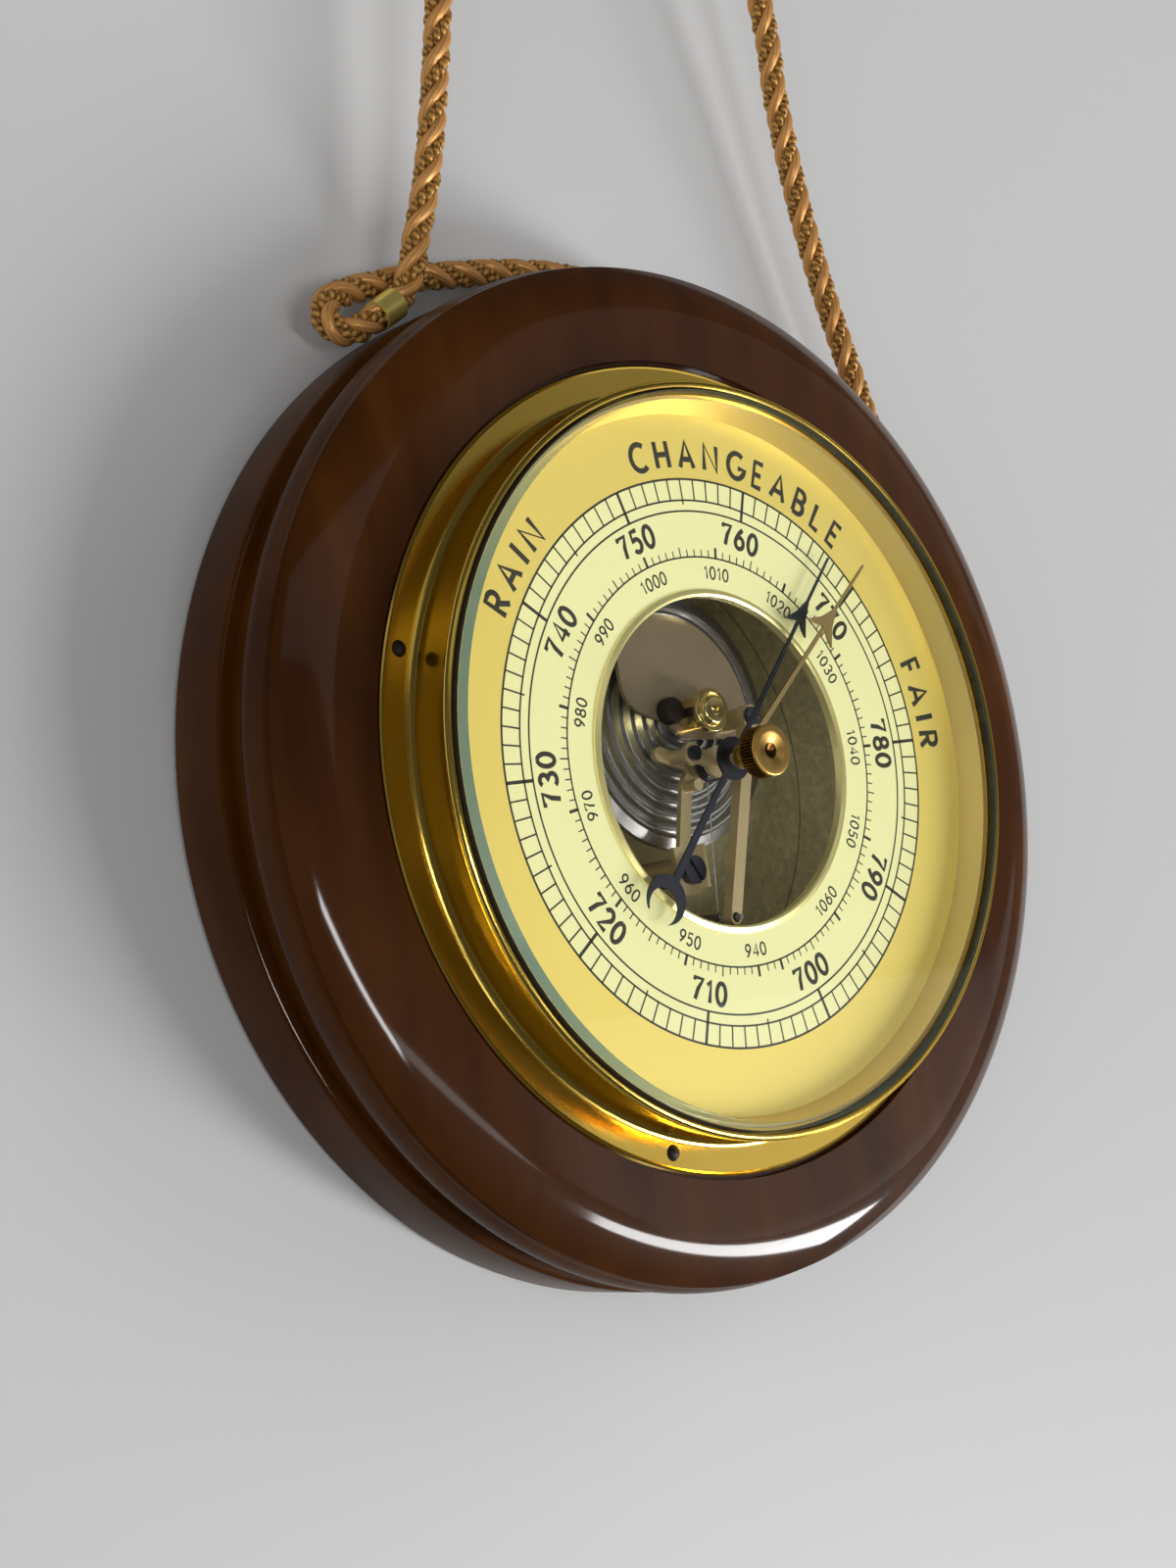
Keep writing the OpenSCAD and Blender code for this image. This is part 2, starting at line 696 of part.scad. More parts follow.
module lever_screw() {
    front_d = lever_back_d + lever_t;
    color("#26304a") {
        slotted_head(lever_top, 1.55, front_d, front_d + 0.7, 0.4, 20);
        pin_at(lever_top, lever_hole_r - 0.05, leaf_back_d, front_d + 0.2);
    }
}

module main_lever() {
    color("#b59a5c") plate_at(lever_back_d, lever_t) difference() {
        union() {
            strip(lever_top, lever_end, lever_w);
            translate(lever_top) circle(r = 2);
            translate(lever_end) circle(r = lever_end_r);
        }
        translate(lever_top) circle(r = lever_hole_r);
        translate(lever_end) circle(r = lever_eye_r);
    }
}

module adjusting_screw() {
    color("#b9892f") {
        slotted_head_rear([0, capsule_z], 3, 4.4, cup_floor_d - cup_t - 0.3, 0.8);
        pin_at([0, capsule_z], 2, cup_floor_d - cup_t - 0.4, plate_front_d);
    }
}

// Screw head whose slot faces the wall, from depth d0 to depth d1
module slotted_head_rear(pos, r, d0, d1, slot_w) {
    difference() {
        pin_at(pos, r, d0, d1);
        translate([pos[0], -d0, pos[1]]) cube([3 * r, d1 - d0, slot_w], center = true);
    }
}

module movement_screws() {
    color("#8d8f94") for (p = screw_places()) {
        slotted_head_rear(p, 2.6, 4.8, cup_floor_d - cup_t, 0.6);
        pin_at(p, 1.25, cup_floor_d - cup_t - 0.1, plate_front_d);
    }
}

module flange_nails() {
    dome_r = (nail_head_r * nail_head_r + nail_dome_h * nail_dome_h) / (2 * nail_dome_h);
    dome_start = asin(1 - nail_dome_h / dome_r);
    color("#2a2018") for (a = nail_angles)
        translate(nail_circle_r * [sin(a), 0, cos(a)]) turned(concat(
            [[0, nail_tip_d], [nail_shank_r, nail_tip_d], [nail_shank_r, flange_d]],
            arc_points(0, flange_d + nail_dome_h - dome_r, dome_r, dome_start, 90, 6)));
}

module hanging_cord() {
    color("#a8763a") swept_tube(spline(CORD_ROUTE, cord_steps), cord_dia, cord_sides);
}

// Short brass sleeve round the cord at p, along direction v
module sleeve(p, v, r_in, r_out, l) {
    translate(p) rotate([0, acos(v[2] / norm(v)), atan2(v[1], v[0])]) difference() {
        cylinder(r = r_out, h = l, center = true);
        cylinder(r = r_in, h = l + 1, center = true);
    }
}

module cord_ferrule() {
    color("#cdb04c") sleeve([-37.2, -8.65, 80.05], [-3.3, 0, -1.9], 2.3, 2.62, 5);
}

module cord_clip() {
    color("#cdb04c") sleeve([85.4, -8.8, 21], [-1.4, -0.45, 6.6], 2.3, 2.62, 5);
}

// Turns a profile of [radius, depth] points about the peg's axis
module peg_turned(points) {
    translate([peg_pos[0], 0, peg_pos[1]]) turned(points);
}

module peg_plate() {
    color("#b9892f") peg_turned([
        [0, 0], [14, 0], [14, 1.5], [12.6, 3], [7.5, 3.4], [6.5, peg_plate_d],
        [0, peg_plate_d]]);
}

module peg_stem() {
    color("#b9892f") peg_turned([
        [0, peg_plate_d], [peg_stem_r, peg_plate_d], [peg_stem_r, peg_knob_d], [0, peg_knob_d]]);
}

module peg_knob() {
    color("#b9892f") peg_turned(concat(
        [[0, peg_knob_d], [6, peg_knob_d], [7, 21.4], [10.6, 22.6], [10.6, 23.4]],
        arc_points(peg_turn_r, peg_groove_d, peg_turn_r - peg_groove_r, -105, -255, 10),
        [[10.6, 30.6], [10.6, 31.4], [8.4, 33], [4, 34.2], [0, 34.6]]));
}

wood_base();
brass_case();
case_cup();
dial_seat();
dial_plate();
opening_trim();
reflector_ring();
bezel_ring();
glass_seal();
glass();
glass_bush();
knob_washer();
set_knob();
set_arbor();
set_hand();
pointer();
pointer_arbor();
chain_drum();
hairspring();
chain();
pointer_bridge();
pointer_cock();
cock_pillars();
cock_screw();
bridge_pillar();
bridge_screw();
movement_plate();
shaft_bracket();
rocker_shaft();
chain_arm();
link_arm();
link();
capsule();
capsule_post();
post_boss();
leaf_stud();
leaf_spring();
spring_bend();
lever_spacer();
lever_screw();
main_lever();
adjusting_screw();
movement_screws();
flange_nails();
hanging_cord();
cord_ferrule();
cord_clip();
peg_plate();
peg_stem();
peg_knob();
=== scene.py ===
"""Aneroid wall barometer: the looks of the turned wood, the brass case, the printed dial,
the open movement and the twisted hanging cord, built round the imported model.

The scene is in metres. The wall is the plane y = 0, the dial faces -y and its top is +z.
A depth is a distance in front of the wall, so a point at depth d has y = -d. Turned profiles
and the dial's radii are written in millimetres and scaled by MM.
"""

import json
import math

import bmesh
import bpy
from mathutils import Matrix, Vector


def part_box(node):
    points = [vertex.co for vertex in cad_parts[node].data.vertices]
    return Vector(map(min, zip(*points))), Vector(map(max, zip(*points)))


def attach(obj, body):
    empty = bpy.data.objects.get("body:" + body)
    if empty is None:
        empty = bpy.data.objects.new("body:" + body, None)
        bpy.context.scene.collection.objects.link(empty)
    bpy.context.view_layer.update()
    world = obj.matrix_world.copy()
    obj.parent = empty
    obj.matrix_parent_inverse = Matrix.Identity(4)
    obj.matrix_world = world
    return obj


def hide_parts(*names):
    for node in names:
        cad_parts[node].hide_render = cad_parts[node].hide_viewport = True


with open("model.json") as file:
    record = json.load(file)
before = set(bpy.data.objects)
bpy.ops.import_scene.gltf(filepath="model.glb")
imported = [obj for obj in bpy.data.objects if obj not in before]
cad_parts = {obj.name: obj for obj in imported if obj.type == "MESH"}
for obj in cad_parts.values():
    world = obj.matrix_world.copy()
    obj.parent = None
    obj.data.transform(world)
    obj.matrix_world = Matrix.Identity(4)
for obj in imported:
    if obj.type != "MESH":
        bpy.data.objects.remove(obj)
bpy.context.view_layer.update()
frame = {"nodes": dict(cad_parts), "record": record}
MM = 0.001


def new_object(name, data):
    """A new object of the scene that shows a mesh, lamp, camera or curve."""
    made = bpy.data.objects.new(name, data)
    bpy.context.scene.collection.objects.link(made)
    return made


# Camera

CAMERA_PLACE = Vector((-0.28727, -0.31680, -0.02273))
CAMERA_RIGHT = Vector((0.7401, -0.6535, -0.1585))
CAMERA_BACK = Vector((-0.6675, -0.7426, -0.0554))
CAMERA_LENS = 57.14


def make_camera():
    data = bpy.data.cameras.new("photo_view")
    data.lens = CAMERA_LENS
    camera = new_object("photo_view", data)
    back = CAMERA_BACK.normalized()
    up = back.cross(CAMERA_RIGHT).normalized()
    turn = Matrix((up.cross(back), up, back)).transposed().to_4x4()
    camera.matrix_world = Matrix.Translation(CAMERA_PLACE) @ turn
    bpy.context.scene.camera = camera


make_camera()


# Cord

CORD_ROUTE = [
    (-0.0374, -0.0086, 0.0799), (-0.0406, -0.0086, 0.0781), (-0.0436, -0.0085, 0.0766),
    (-0.0467, -0.0082, 0.0762), (-0.0488, -0.0076, 0.0782), (-0.0478, -0.0068, 0.0811),
    (-0.0437, -0.0059, 0.0833), (-0.0374, -0.0050, 0.0850), (-0.0295, -0.0044, 0.0868),
    (-0.0208, -0.0042, 0.0880), (-0.0054, -0.0042, 0.0894), (0.0080, -0.0042, 0.0892),
    (0.0220, -0.0042, 0.0863), (0.0380, -0.0042, 0.0803), (0.0520, -0.0042, 0.0720),
    (0.0620, -0.0042, 0.0634), (0.0703, -0.0042, 0.0540), (0.0777, -0.0042, 0.0436),
    (0.0832, -0.0043, 0.0345), (0.0876, -0.0046, 0.0256), (0.0909, -0.0050, 0.0188),
    (0.0928, -0.0060, 0.0134), (0.0916, -0.0074, 0.0094), (0.0884, -0.0083, 0.0104),
    (0.0868, -0.0086, 0.0150), (0.0854, -0.0088, 0.0210), (0.0838, -0.0092, 0.0290),
    (0.0816, -0.0096, 0.0385), (0.0788, -0.0094, 0.0500), (0.0751, -0.0089, 0.0634),
    (0.0727, -0.0088, 0.0730), (0.0683, -0.0090, 0.0900), (0.0644, -0.0100, 0.1065),
    (0.0608, -0.0120, 0.1245), (0.0574, -0.0150, 0.1420), (0.0436, -0.0212, 0.2030),
    (0.0298, -0.0270, 0.2620), (0.0200, -0.0270, 0.2720), (0.0102, -0.0270, 0.2620),
    (-0.0053, -0.0204, 0.1970), (-0.0186, -0.0149, 0.1400), (-0.0220, -0.0136, 0.1235),
    (-0.0250, -0.0122, 0.1088), (-0.0276, -0.0112, 0.0989), (-0.0298, -0.0104, 0.0924),
    (-0.0316, -0.0097, 0.0866), (-0.0336, -0.0089, 0.0828), (-0.0366, -0.0086, 0.0804),
]
# Straight steps in each stretch of the route, before points are spaced evenly along it
ROUTE_STEPS = 40
SATIN_SPACING = 0.8 * MM
GIMP_SPACING = 0.3 * MM
# A lead is the length of cord in which a strand winds once round its circle
CORD_LEAD = 14.0 * MM
STRAND_CIRCLE = 1.36 * MM
SATIN_RADIUS = 1.04 * MM
GIMP_RADIUS = 0.58 * MM
GIMP_CIRCLE = 0.52 * MM
GIMP_LEAD = 3.4 * MM


def route_point(points, i, t):
    """A point of the smooth curve through the route, between its points i and i + 1."""
    last = len(points) - 1
    a, b = points[max(i - 1, 0)], points[i]
    c, d = points[min(i + 1, last)], points[min(i + 2, last)]
    return 0.5 * (
        2 * b + (c - a) * t + (2 * a - 5 * b + 4 * c - d) * t**2 + (3 * b - a - 3 * c + d) * t**3
    )


def even_route(points, spacing):
    """The route's curve as points at an even spacing."""
    fine = [
        route_point(points, i, s / ROUTE_STEPS)
        for i in range(len(points) - 1) for s in range(ROUTE_STEPS)
    ]
    fine.append(points[-1])
    even, carried = [fine[0]], 0.0
    for a, b in zip(fine, fine[1:]):
        step = (b - a).length
        while carried + step >= spacing:
            t = (spacing - carried) / step
            a = a + (b - a) * t
            even.append(a.copy())
            step = (b - a).length
            carried = 0.0
        carried += step
    return even


def carried_frames(line):
    """A sideways direction at each point of a line, carried along without twisting."""
    side = Vector((0, -1, 0.2))
    frames = []
    for i, point in enumerate(line):
        ahead = line[min(i + 1, len(line) - 1)] - line[max(i - 1, 0)]
        ahead.normalize()
        side = (side - ahead * side.dot(ahead)).normalized()
        frames.append((point, side.copy(), ahead.cross(side)))
    return frames


def wound(line, spacing, phase, circle, lead):
    """A line wound round another one, at a distance from it."""
    points = []
    for i, (centre, side, other) in enumerate(carried_frames(line)):
        angle = math.tau * i * spacing / lead + phase
        points.append(centre + circle * (math.cos(angle) * side + math.sin(angle) * other))
    return points


def tube_curve(name, radius, resolution):
    """A curve whose lines are closed-ended tubes."""
    curve = bpy.data.curves.new(name, "CURVE")
    curve.dimensions = "3D"
    curve.bevel_depth = radius
    curve.bevel_resolution = resolution
    curve.use_fill_caps = True
    return curve


def add_line(curve, places):
    """Adds a line through some places to a curve."""
    spline = curve.splines.new("POLY")
    spline.points.add(len(places) - 1)
    for point, place in zip(spline.points, places):
        point.co = (*place, 1.0)


def strands_object(name, strands, radius, resolution):
    """A mesh of several strands, each a tube along its own points."""
    curve = tube_curve(name, radius, resolution)
    for places in strands:
        add_line(curve, places)
    return meshed(name, curve)


def meshed(name, curve):
    """A new smooth mesh object made from a curve, whose own object is then removed."""
    holder = new_object(name + "_curve", curve)
    graph = bpy.context.evaluated_depsgraph_get()
    mesh = bpy.data.meshes.new_from_object(holder.evaluated_get(graph))
    bpy.data.objects.remove(holder)
    piece = new_object(name, mesh)
    for face in mesh.polygons:
        face.use_smooth = True
    return piece


def make_cord():
    """Two thick satin strands, and between them two thin pairs twisted the other way."""
    route = [Vector(p) for p in CORD_ROUTE]
    line = even_route(route, SATIN_SPACING)
    smooth = [
        wound(line, SATIN_SPACING, k * math.pi, STRAND_CIRCLE, CORD_LEAD) for k in range(2)
    ]
    satin = strands_object("cord_satin_strands", smooth, SATIN_RADIUS, 3)
    fine_line = even_route(route, GIMP_SPACING)
    twisted = [
        wound(
            wound(fine_line, GIMP_SPACING, (k + 0.5) * math.pi, STRAND_CIRCLE, CORD_LEAD),
            GIMP_SPACING, turn * math.pi, GIMP_CIRCLE, -GIMP_LEAD,
        )
        for k in range(2) for turn in range(2)
    ]
    gimp = strands_object("cord_gimp_strands", twisted, GIMP_RADIUS, 2)
    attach(satin, "case")
    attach(gimp, "case")
    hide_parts("hanging_cord")
    return satin, gimp


cord_satin, cord_gimp = make_cord()


# Shader maths

# Places of the Mix node's colour sockets among its inputs and outputs
MIX_SHARE, MIX_FIRST, MIX_SECOND, MIX_RESULT = 0, 6, 7, 2


class Sock:
    """A shader socket that plain arithmetic can be written with; > gives 1 or 0."""

    def __init__(self, finish, socket):
        self.finish = finish
        self.socket = socket

    def _maths(self, operation, *values):
        inputs = dict(enumerate(values))
        return self.finish.node("Math", {"operation": operation}, inputs)

    def __add__(self, other):
        return self._maths("ADD", self, other)

    def __sub__(self, other):
        return self._maths("SUBTRACT", self, other)

    def __rsub__(self, other):
        return self._maths("SUBTRACT", other, self)

    def __mul__(self, other):
        return self._maths("MULTIPLY", self, other)

    def __pow__(self, other):
        return self._maths("POWER", self, other)

    def __truediv__(self, other):
        return self._maths("DIVIDE", self, other)

    def __gt__(self, other):
        return self._maths("GREATER_THAN", self, other)

    __radd__ = __add__
    __rmul__ = __mul__


class Finish:
    """A material whose nodes are added by expressions."""

    def __init__(self, name):
        self.material = bpy.data.materials.new(name)
        self.material.use_nodes = True
        self.tree = self.material.node_tree
        self.tree.nodes.clear()
        self.place = self.node("TexCoord", out="Object")

    def node(self, kind, settings=None, inputs=None, out=0):
        """Adds a node: its settings first, then the values or links of its sockets."""
        made = self.tree.nodes.new("ShaderNode" + kind)
        for key, value in (settings or {}).items():
            if key == "stops":
                self._set_stops(made.color_ramp, value)
            else:
                setattr(made, key, value)
        for key, value in (inputs or {}).items():
            if isinstance(value, Sock):
                self.tree.links.new(value.socket, made.inputs[key])
            else:
                made.inputs[key].default_value = value
        return Sock(self, made.outputs[out])

    @staticmethod
    def _set_stops(ramp, stops):
        while len(ramp.elements) < len(stops):
            ramp.elements.new(0.5)
        for element, (position, colour) in zip(ramp.elements, stops):
            element.position = position
            element.color = (*colour, 1.0)

    def ramp(self, value, stops):
        return self.node("ValToRGB", {"stops": stops}, {"Fac": value})

    def mix(self, share, a, b):
        """Colour a, with a share of colour b; a plain colour is three numbers."""
        first, second = (c if isinstance(c, Sock) else (*c, 1.0) for c in (a, b))
        sockets = {MIX_SHARE: share, MIX_FIRST: first, MIX_SECOND: second}
        return self.node("Mix", {"data_type": "RGBA"}, sockets, out=MIX_RESULT)

    def noise(self, size, detail=3.0, stretch=(1, 1, 1), rough=0.5):
        """Noise whose grain is about size metres, longer where stretch is smaller."""
        place = self.node(
            "Mapping", {}, {"Vector": self.place, "Scale": tuple(s / size for s in stretch)}
        )
        return self.node(
            "TexNoise", {}, {"Vector": place, "Scale": 1.0, "Detail": detail, "Roughness": rough}
        )

    def part_of(self, vector, axis):
        """The part of a vector along X, Y or Z."""
        return self.node("SeparateXYZ", {}, {0: vector}, out=axis)

    def at_least_zero(self, value):
        return self.node("Math", {"operation": "MAXIMUM"}, {0: value, 1: 0.0})

    def radius(self, z=0.0):
        """Distance in metres from the axis along y at height z."""
        across = self.part_of(self.place, "X")
        up = self.part_of(self.place, "Z") - z
        return (across * across + up * up) ** 0.5

    def depth(self):
        """Distance in metres in front of the wall."""
        return self.part_of(self.place, "Y") * -1.0

    def rings(self, size, z=0.0):
        """Turning marks: noise that runs in circles about the axis along y at height z."""
        run = (self.radius(z) + self.depth()) / size
        return self.node("TexNoise", {"noise_dimensions": "1D"}, {"W": run, "Detail": 2.0})

    def bump(self, height, strength, distance):
        return self.node(
            "Bump", {}, {"Height": height, "Strength": strength, "Distance": distance}
        )

    def surface(self, **sockets):
        """The Principled shader, its sockets named with _ for a space."""
        inputs = {}
        for key, value in sockets.items():
            name = " ".join(w.upper() if w == "ior" else w.capitalize() for w in key.split("_"))
            colour = name in ("Base Color", "Specular Tint")
            inputs[name] = (*value, 1.0) if colour and not isinstance(value, Sock) else value
        return self.node("BsdfPrincipled", {}, inputs)

    def done(self, shader):
        output = self.tree.nodes.new("ShaderNodeOutputMaterial")
        self.tree.links.new(shader.socket, output.inputs["Surface"])
        return self.material


# Finishes


def lacquered_wood():
    """Dark stained wood under gloss lacquer, which is thinner on the outermost edge."""
    f = Finish("lacquered_wood")
    grain = f.noise(9 * MM, 5, (1, 1, 0.22))
    cloud = f.noise(60 * MM, 2)
    stain = f.ramp(grain * 0.55 + cloud * 0.45, [
        (0.30, (0.024, 0.0056, 0.0003)),
        (0.52, (0.047, 0.0130, 0.0007)),
        (0.72, (0.082, 0.0255, 0.0014)),
    ])
    ripple = f.bump(f.noise(14 * MM, 1), 0.04, 1 * MM)
    edge = f.radius() > THIN_LACQUER * MM
    return f.done(f.surface(
        base_color=stain, roughness=0.45 + 0.12 * grain, specular_ior_level=0.05,
        coat_weight=0.72 - 0.42 * edge, coat_roughness=0.08, coat_ior=1.42, normal=ripple,
    ))


def polished_brass(name, z, tone, rough):
    """Bright lacquered brass with turning marks about the axis at height z."""
    f = Finish(name)
    marks = f.rings(0.25 * MM, z)
    cloud = f.noise(16 * MM, 3)
    tarnish = f.mix(cloud * 0.5, tone, tuple(c * s for c, s in zip(tone, (0.82, 0.70, 0.40))))
    return f.done(f.surface(
        base_color=tarnish, metallic=1.0, roughness=rough + 0.10 * marks * cloud,
        specular_tint=(1.0, 0.84, 0.45), normal=f.bump(marks, 0.012, 0.05 * MM),
    ))


def knurled_brass():
    """Copper-toned brass, its knurled side painted dark as painted shade, darkest in the grooves
    between the knurls, and its face bright.
    """
    f = Finish("copper_toned_knob")
    marks = f.rings(0.3 * MM)
    cloud = f.noise(3 * MM, 3)
    face = f.mix(cloud * 0.5, (0.80, 0.50, 0.15), (0.52, 0.29, 0.07))
    # Painted shade: the side is a dark copy of the face's brass.
    side = f.mix(cloud * 0.5, (0.11, 0.050, 0.012), (0.05, 0.022, 0.006))
    # Painted shade in the knurls' grooves; only the parts out at the full radius, the crests, are
    # lighter.
    shaded_knurled_side = f.mix(f.radius() > (KNOB_RADIUS - 0.1) * MM, side, (0.26, 0.135, 0.035))
    front = f.depth() > (KNOB_FRONT - 0.45) * MM
    return f.done(f.surface(
        base_color=f.mix(front, shaded_knurled_side, face), metallic=1.0, roughness=0.24 + 0.1 * marks,
        normal=f.bump(marks, 0.05, 0.05 * MM),
    ))


def gilt_trim():
    f = Finish("gilt_trim")
    cloud = f.noise(5 * MM, 2)
    tint = f.mix(cloud * 0.5, (1.0, 0.92, 0.42), (0.94, 0.82, 0.32))
    return f.done(f.surface(base_color=tint, metallic=0.7, roughness=0.16 + 0.1 * cloud))


def satin_gilt(name, light, dark, rough):
    """Matt gilt brass with fine turning lines."""
    f = Finish(name)
    marks = f.rings(0.4 * MM)
    tint = f.mix(marks * 0.6, light, dark)
    return f.done(f.surface(
        base_color=tint, metallic=0.8, roughness=rough + 0.1 * marks,
        specular_tint=(1.0, 0.88, 0.55), normal=f.bump(marks, 0.02, 0.05 * MM),
    ))


def dull_brass():
    """Speckled brass of the case's inside, painted lighter as painted light in its shade, with
    painted shade in a crease and a darker outside.
    """
    f = Finish("dull_brass")
    spots = f.noise(1.6 * MM, 4, rough=0.7)
    marks = f.rings(0.5 * MM)
    # Painted light: the inside's tone is painted lighter than the brass, for the light that its
    # shaded cup lacks.
    tone = f.ramp(spots * 0.7 + marks * 0.3, [
        (0.30, (0.46, 0.420, 0.240)),
        (0.55, (0.74, 0.670, 0.400)),
        (0.75, (1.00, 0.940, 0.620)),
    ])
    out = f.radius()
    # Painted shade: a dark ring where the cup's floor meets its corner.
    crease = (out > CREASE_SHADE_INNER * MM) * (1 - (out > CREASE_SHADE_OUTER * MM))
    tone = f.mix(crease * 0.6, tone, (0.10, 0.08, 0.04))
    # The outside keeps a darker tone, without the inside's painted light.
    beyond = f.at_least_zero(out - CORNER_RADIUS * MM)
    below = f.at_least_zero(CORNER_DEPTH * MM - f.depth())
    outside = (beyond * beyond + below * below) ** 0.5 > CORNER_ROUND * MM
    tone = f.mix(outside * 0.7, tone, (0.20, 0.150, 0.060))
    return f.done(f.surface(
        base_color=tone, metallic=0.2, roughness=0.38 + 0.2 * spots,
        normal=f.bump(marks, 0.08, 0.05 * MM),
    ))


def dial_face():
    """Brushed gold outside, and the pale printed ground of the two scales inside."""
    f = Finish("dial_face")
    printed = 1 - (f.radius() > SCALE_OUTER * MM)
    brushed = f.noise(0.35 * MM, 2, (0.03, 1, 1))
    cloud = f.noise(25 * MM, 2)
    gold = f.mix(brushed * 0.35 + cloud * 0.25, (0.97, 0.79, 0.20), (0.88, 0.69, 0.15))
    ground = f.mix(cloud * 0.4, (0.88, 0.87, 0.42), (0.82, 0.81, 0.38))
    return f.done(f.surface(
        base_color=f.mix(printed, gold, ground), metallic=0.36 - 0.33 * printed,
        roughness=0.36 + 0.10 * brushed + 0.08 * printed,
        normal=f.bump(brushed, 0.03, 0.03 * MM),
    ))


def printing_ink():
    f = Finish("printing_ink")
    cloud = f.noise(1.2 * MM, 2)
    ink = f.mix(cloud * 0.6, (0.020, 0.018, 0.010), (0.045, 0.040, 0.022))
    return f.done(f.surface(base_color=ink, roughness=0.45 + 0.1 * cloud))


def blued_steel():
    f = Finish("blued_steel")
    tone = (0.070, 0.076, 0.094)
    cloud = f.noise(4 * MM, 3)
    fine = f.noise(0.2 * MM, 2)
    tint = f.mix(cloud * 0.6, tone, tuple(c * 0.6 for c in tone))
    return f.done(f.surface(
        base_color=tint, metallic=0.85, roughness=0.30 + 0.12 * fine,
        normal=f.bump(fine, 0.03, 0.02 * MM),
    ))


def satin_hand():
    f = Finish("satin_gilt_hand")
    cloud = f.noise(3 * MM, 3)
    fine = f.noise(0.2 * MM, 2)
    tint = f.mix(cloud * 0.5, (0.52, 0.39, 0.17), (0.40, 0.29, 0.12))
    return f.done(f.surface(
        base_color=tint, metallic=0.9, roughness=0.34 + 0.12 * fine,
        normal=f.bump(fine, 0.03, 0.02 * MM),
    ))


def movement_brass():
    f = Finish("movement_brass")
    tone = (0.62, 0.50, 0.265)
    cloud = f.noise(5 * MM, 3)
    grain = f.noise(0.5 * MM, 2, (1, 1, 0.06))
    tint = f.mix(cloud * 0.5, tone, tuple(c * 0.72 for c in tone))
    return f.done(f.surface(
        base_color=tint, metallic=0.6, roughness=0.28 + 0.12 * grain,
        normal=f.bump(grain, 0.03, 0.03 * MM),
    ))


def drawn_steel(name, tone, metal):
    f = Finish(name)
    cloud = f.noise(4 * MM, 3)
    tint = f.mix(cloud * 0.6, tone, tuple(c * 0.62 for c in tone))
    return f.done(f.surface(base_color=tint, metallic=metal, roughness=0.22 + 0.12 * cloud))


def pressed_capsule():
    f = Finish("pressed_capsule_metal")
    cloud = f.noise(7 * MM, 3)
    marks = f.rings(0.3 * MM, CAPSULE_Z)
    tint = f.mix(cloud * 0.6, (0.44, 0.43, 0.41), (0.31, 0.295, 0.27))
    return f.done(f.surface(
        base_color=tint, metallic=0.9, roughness=0.22 + 0.10 * marks * cloud,
        normal=f.bump(marks, 0.04, 0.03 * MM),
    ))


def tempered_leaf():
    f = Finish("tempered_leaf_steel")
    cloud = f.noise(12 * MM, 3)
    fine = f.noise(0.6 * MM, 2, (1, 1, 0.08))
    tint = f.mix(cloud * 0.5, (0.34, 0.270, 0.170), (0.26, 0.200, 0.120))
    return f.done(f.surface(
        base_color=tint, metallic=0.5, roughness=0.21 + 0.02 * fine,
    ))


def old_nail():
    f = Finish("old_nail")
    cloud = f.noise(0.9 * MM, 3)
    tint = f.mix(cloud, (0.035, 0.022, 0.014), (0.012, 0.009, 0.007))
    return f.done(f.surface(
        base_color=tint, metallic=0.6, roughness=0.45 + 0.2 * cloud,
        normal=f.bump(cloud, 0.2, 0.05 * MM),
    ))


def glazing_putty():
    f = Finish("glazing_putty")
    cloud = f.noise(1.5 * MM, 3)
    tint = f.mix(cloud, (0.030, 0.024, 0.016), (0.012, 0.010, 0.008))
    return f.done(f.surface(base_color=tint, roughness=0.6 + 0.2 * cloud))


def clear_glass():
    """Flat glass: a share of its reflection alone, which grows towards grazing views."""
    f = Finish("clear_glass")
    smear = f.noise(30 * MM, 2)
    behind = f.node("NewGeometry", out="Backfacing")
    shine = f.node("Fresnel", {}, {"IOR": GLASS_IOR - (GLASS_IOR - 1 / GLASS_IOR) * behind})
    return f.done(f.surface(
        base_color=(1.0, 1.0, 1.0), metallic=1.0, roughness=0.01 + 0.02 * smear,
        alpha=shine * GLASS_SHINE,
    ))


def glass_bevel():
    """The ground bevel of the glass, green where it is looked into squarely from outside."""
    f = Finish("ground_glass_bevel")
    smear = f.noise(6 * MM, 2)
    behind = f.node("NewGeometry", out="Backfacing")
    squarely = 1 - f.node("LayerWeight", {}, {"Blend": 0.5}, out="Facing")
    tint = f.mix(smear, (0.145, 0.26, 0.21), (0.10, 0.20, 0.165))
    depth = f.node(
        "MapRange", {"interpolation_type": "SMOOTHSTEP"},
        {"Value": squarely, "From Min": 0.55, "From Max": 0.95, "To Min": 0.1, "To Max": 0.9},
    )
    return f.done(f.surface(
        base_color=tint, roughness=0.25 + 0.1 * smear, specular_ior_level=0.2,
        alpha=depth * (1 - behind),
    ))


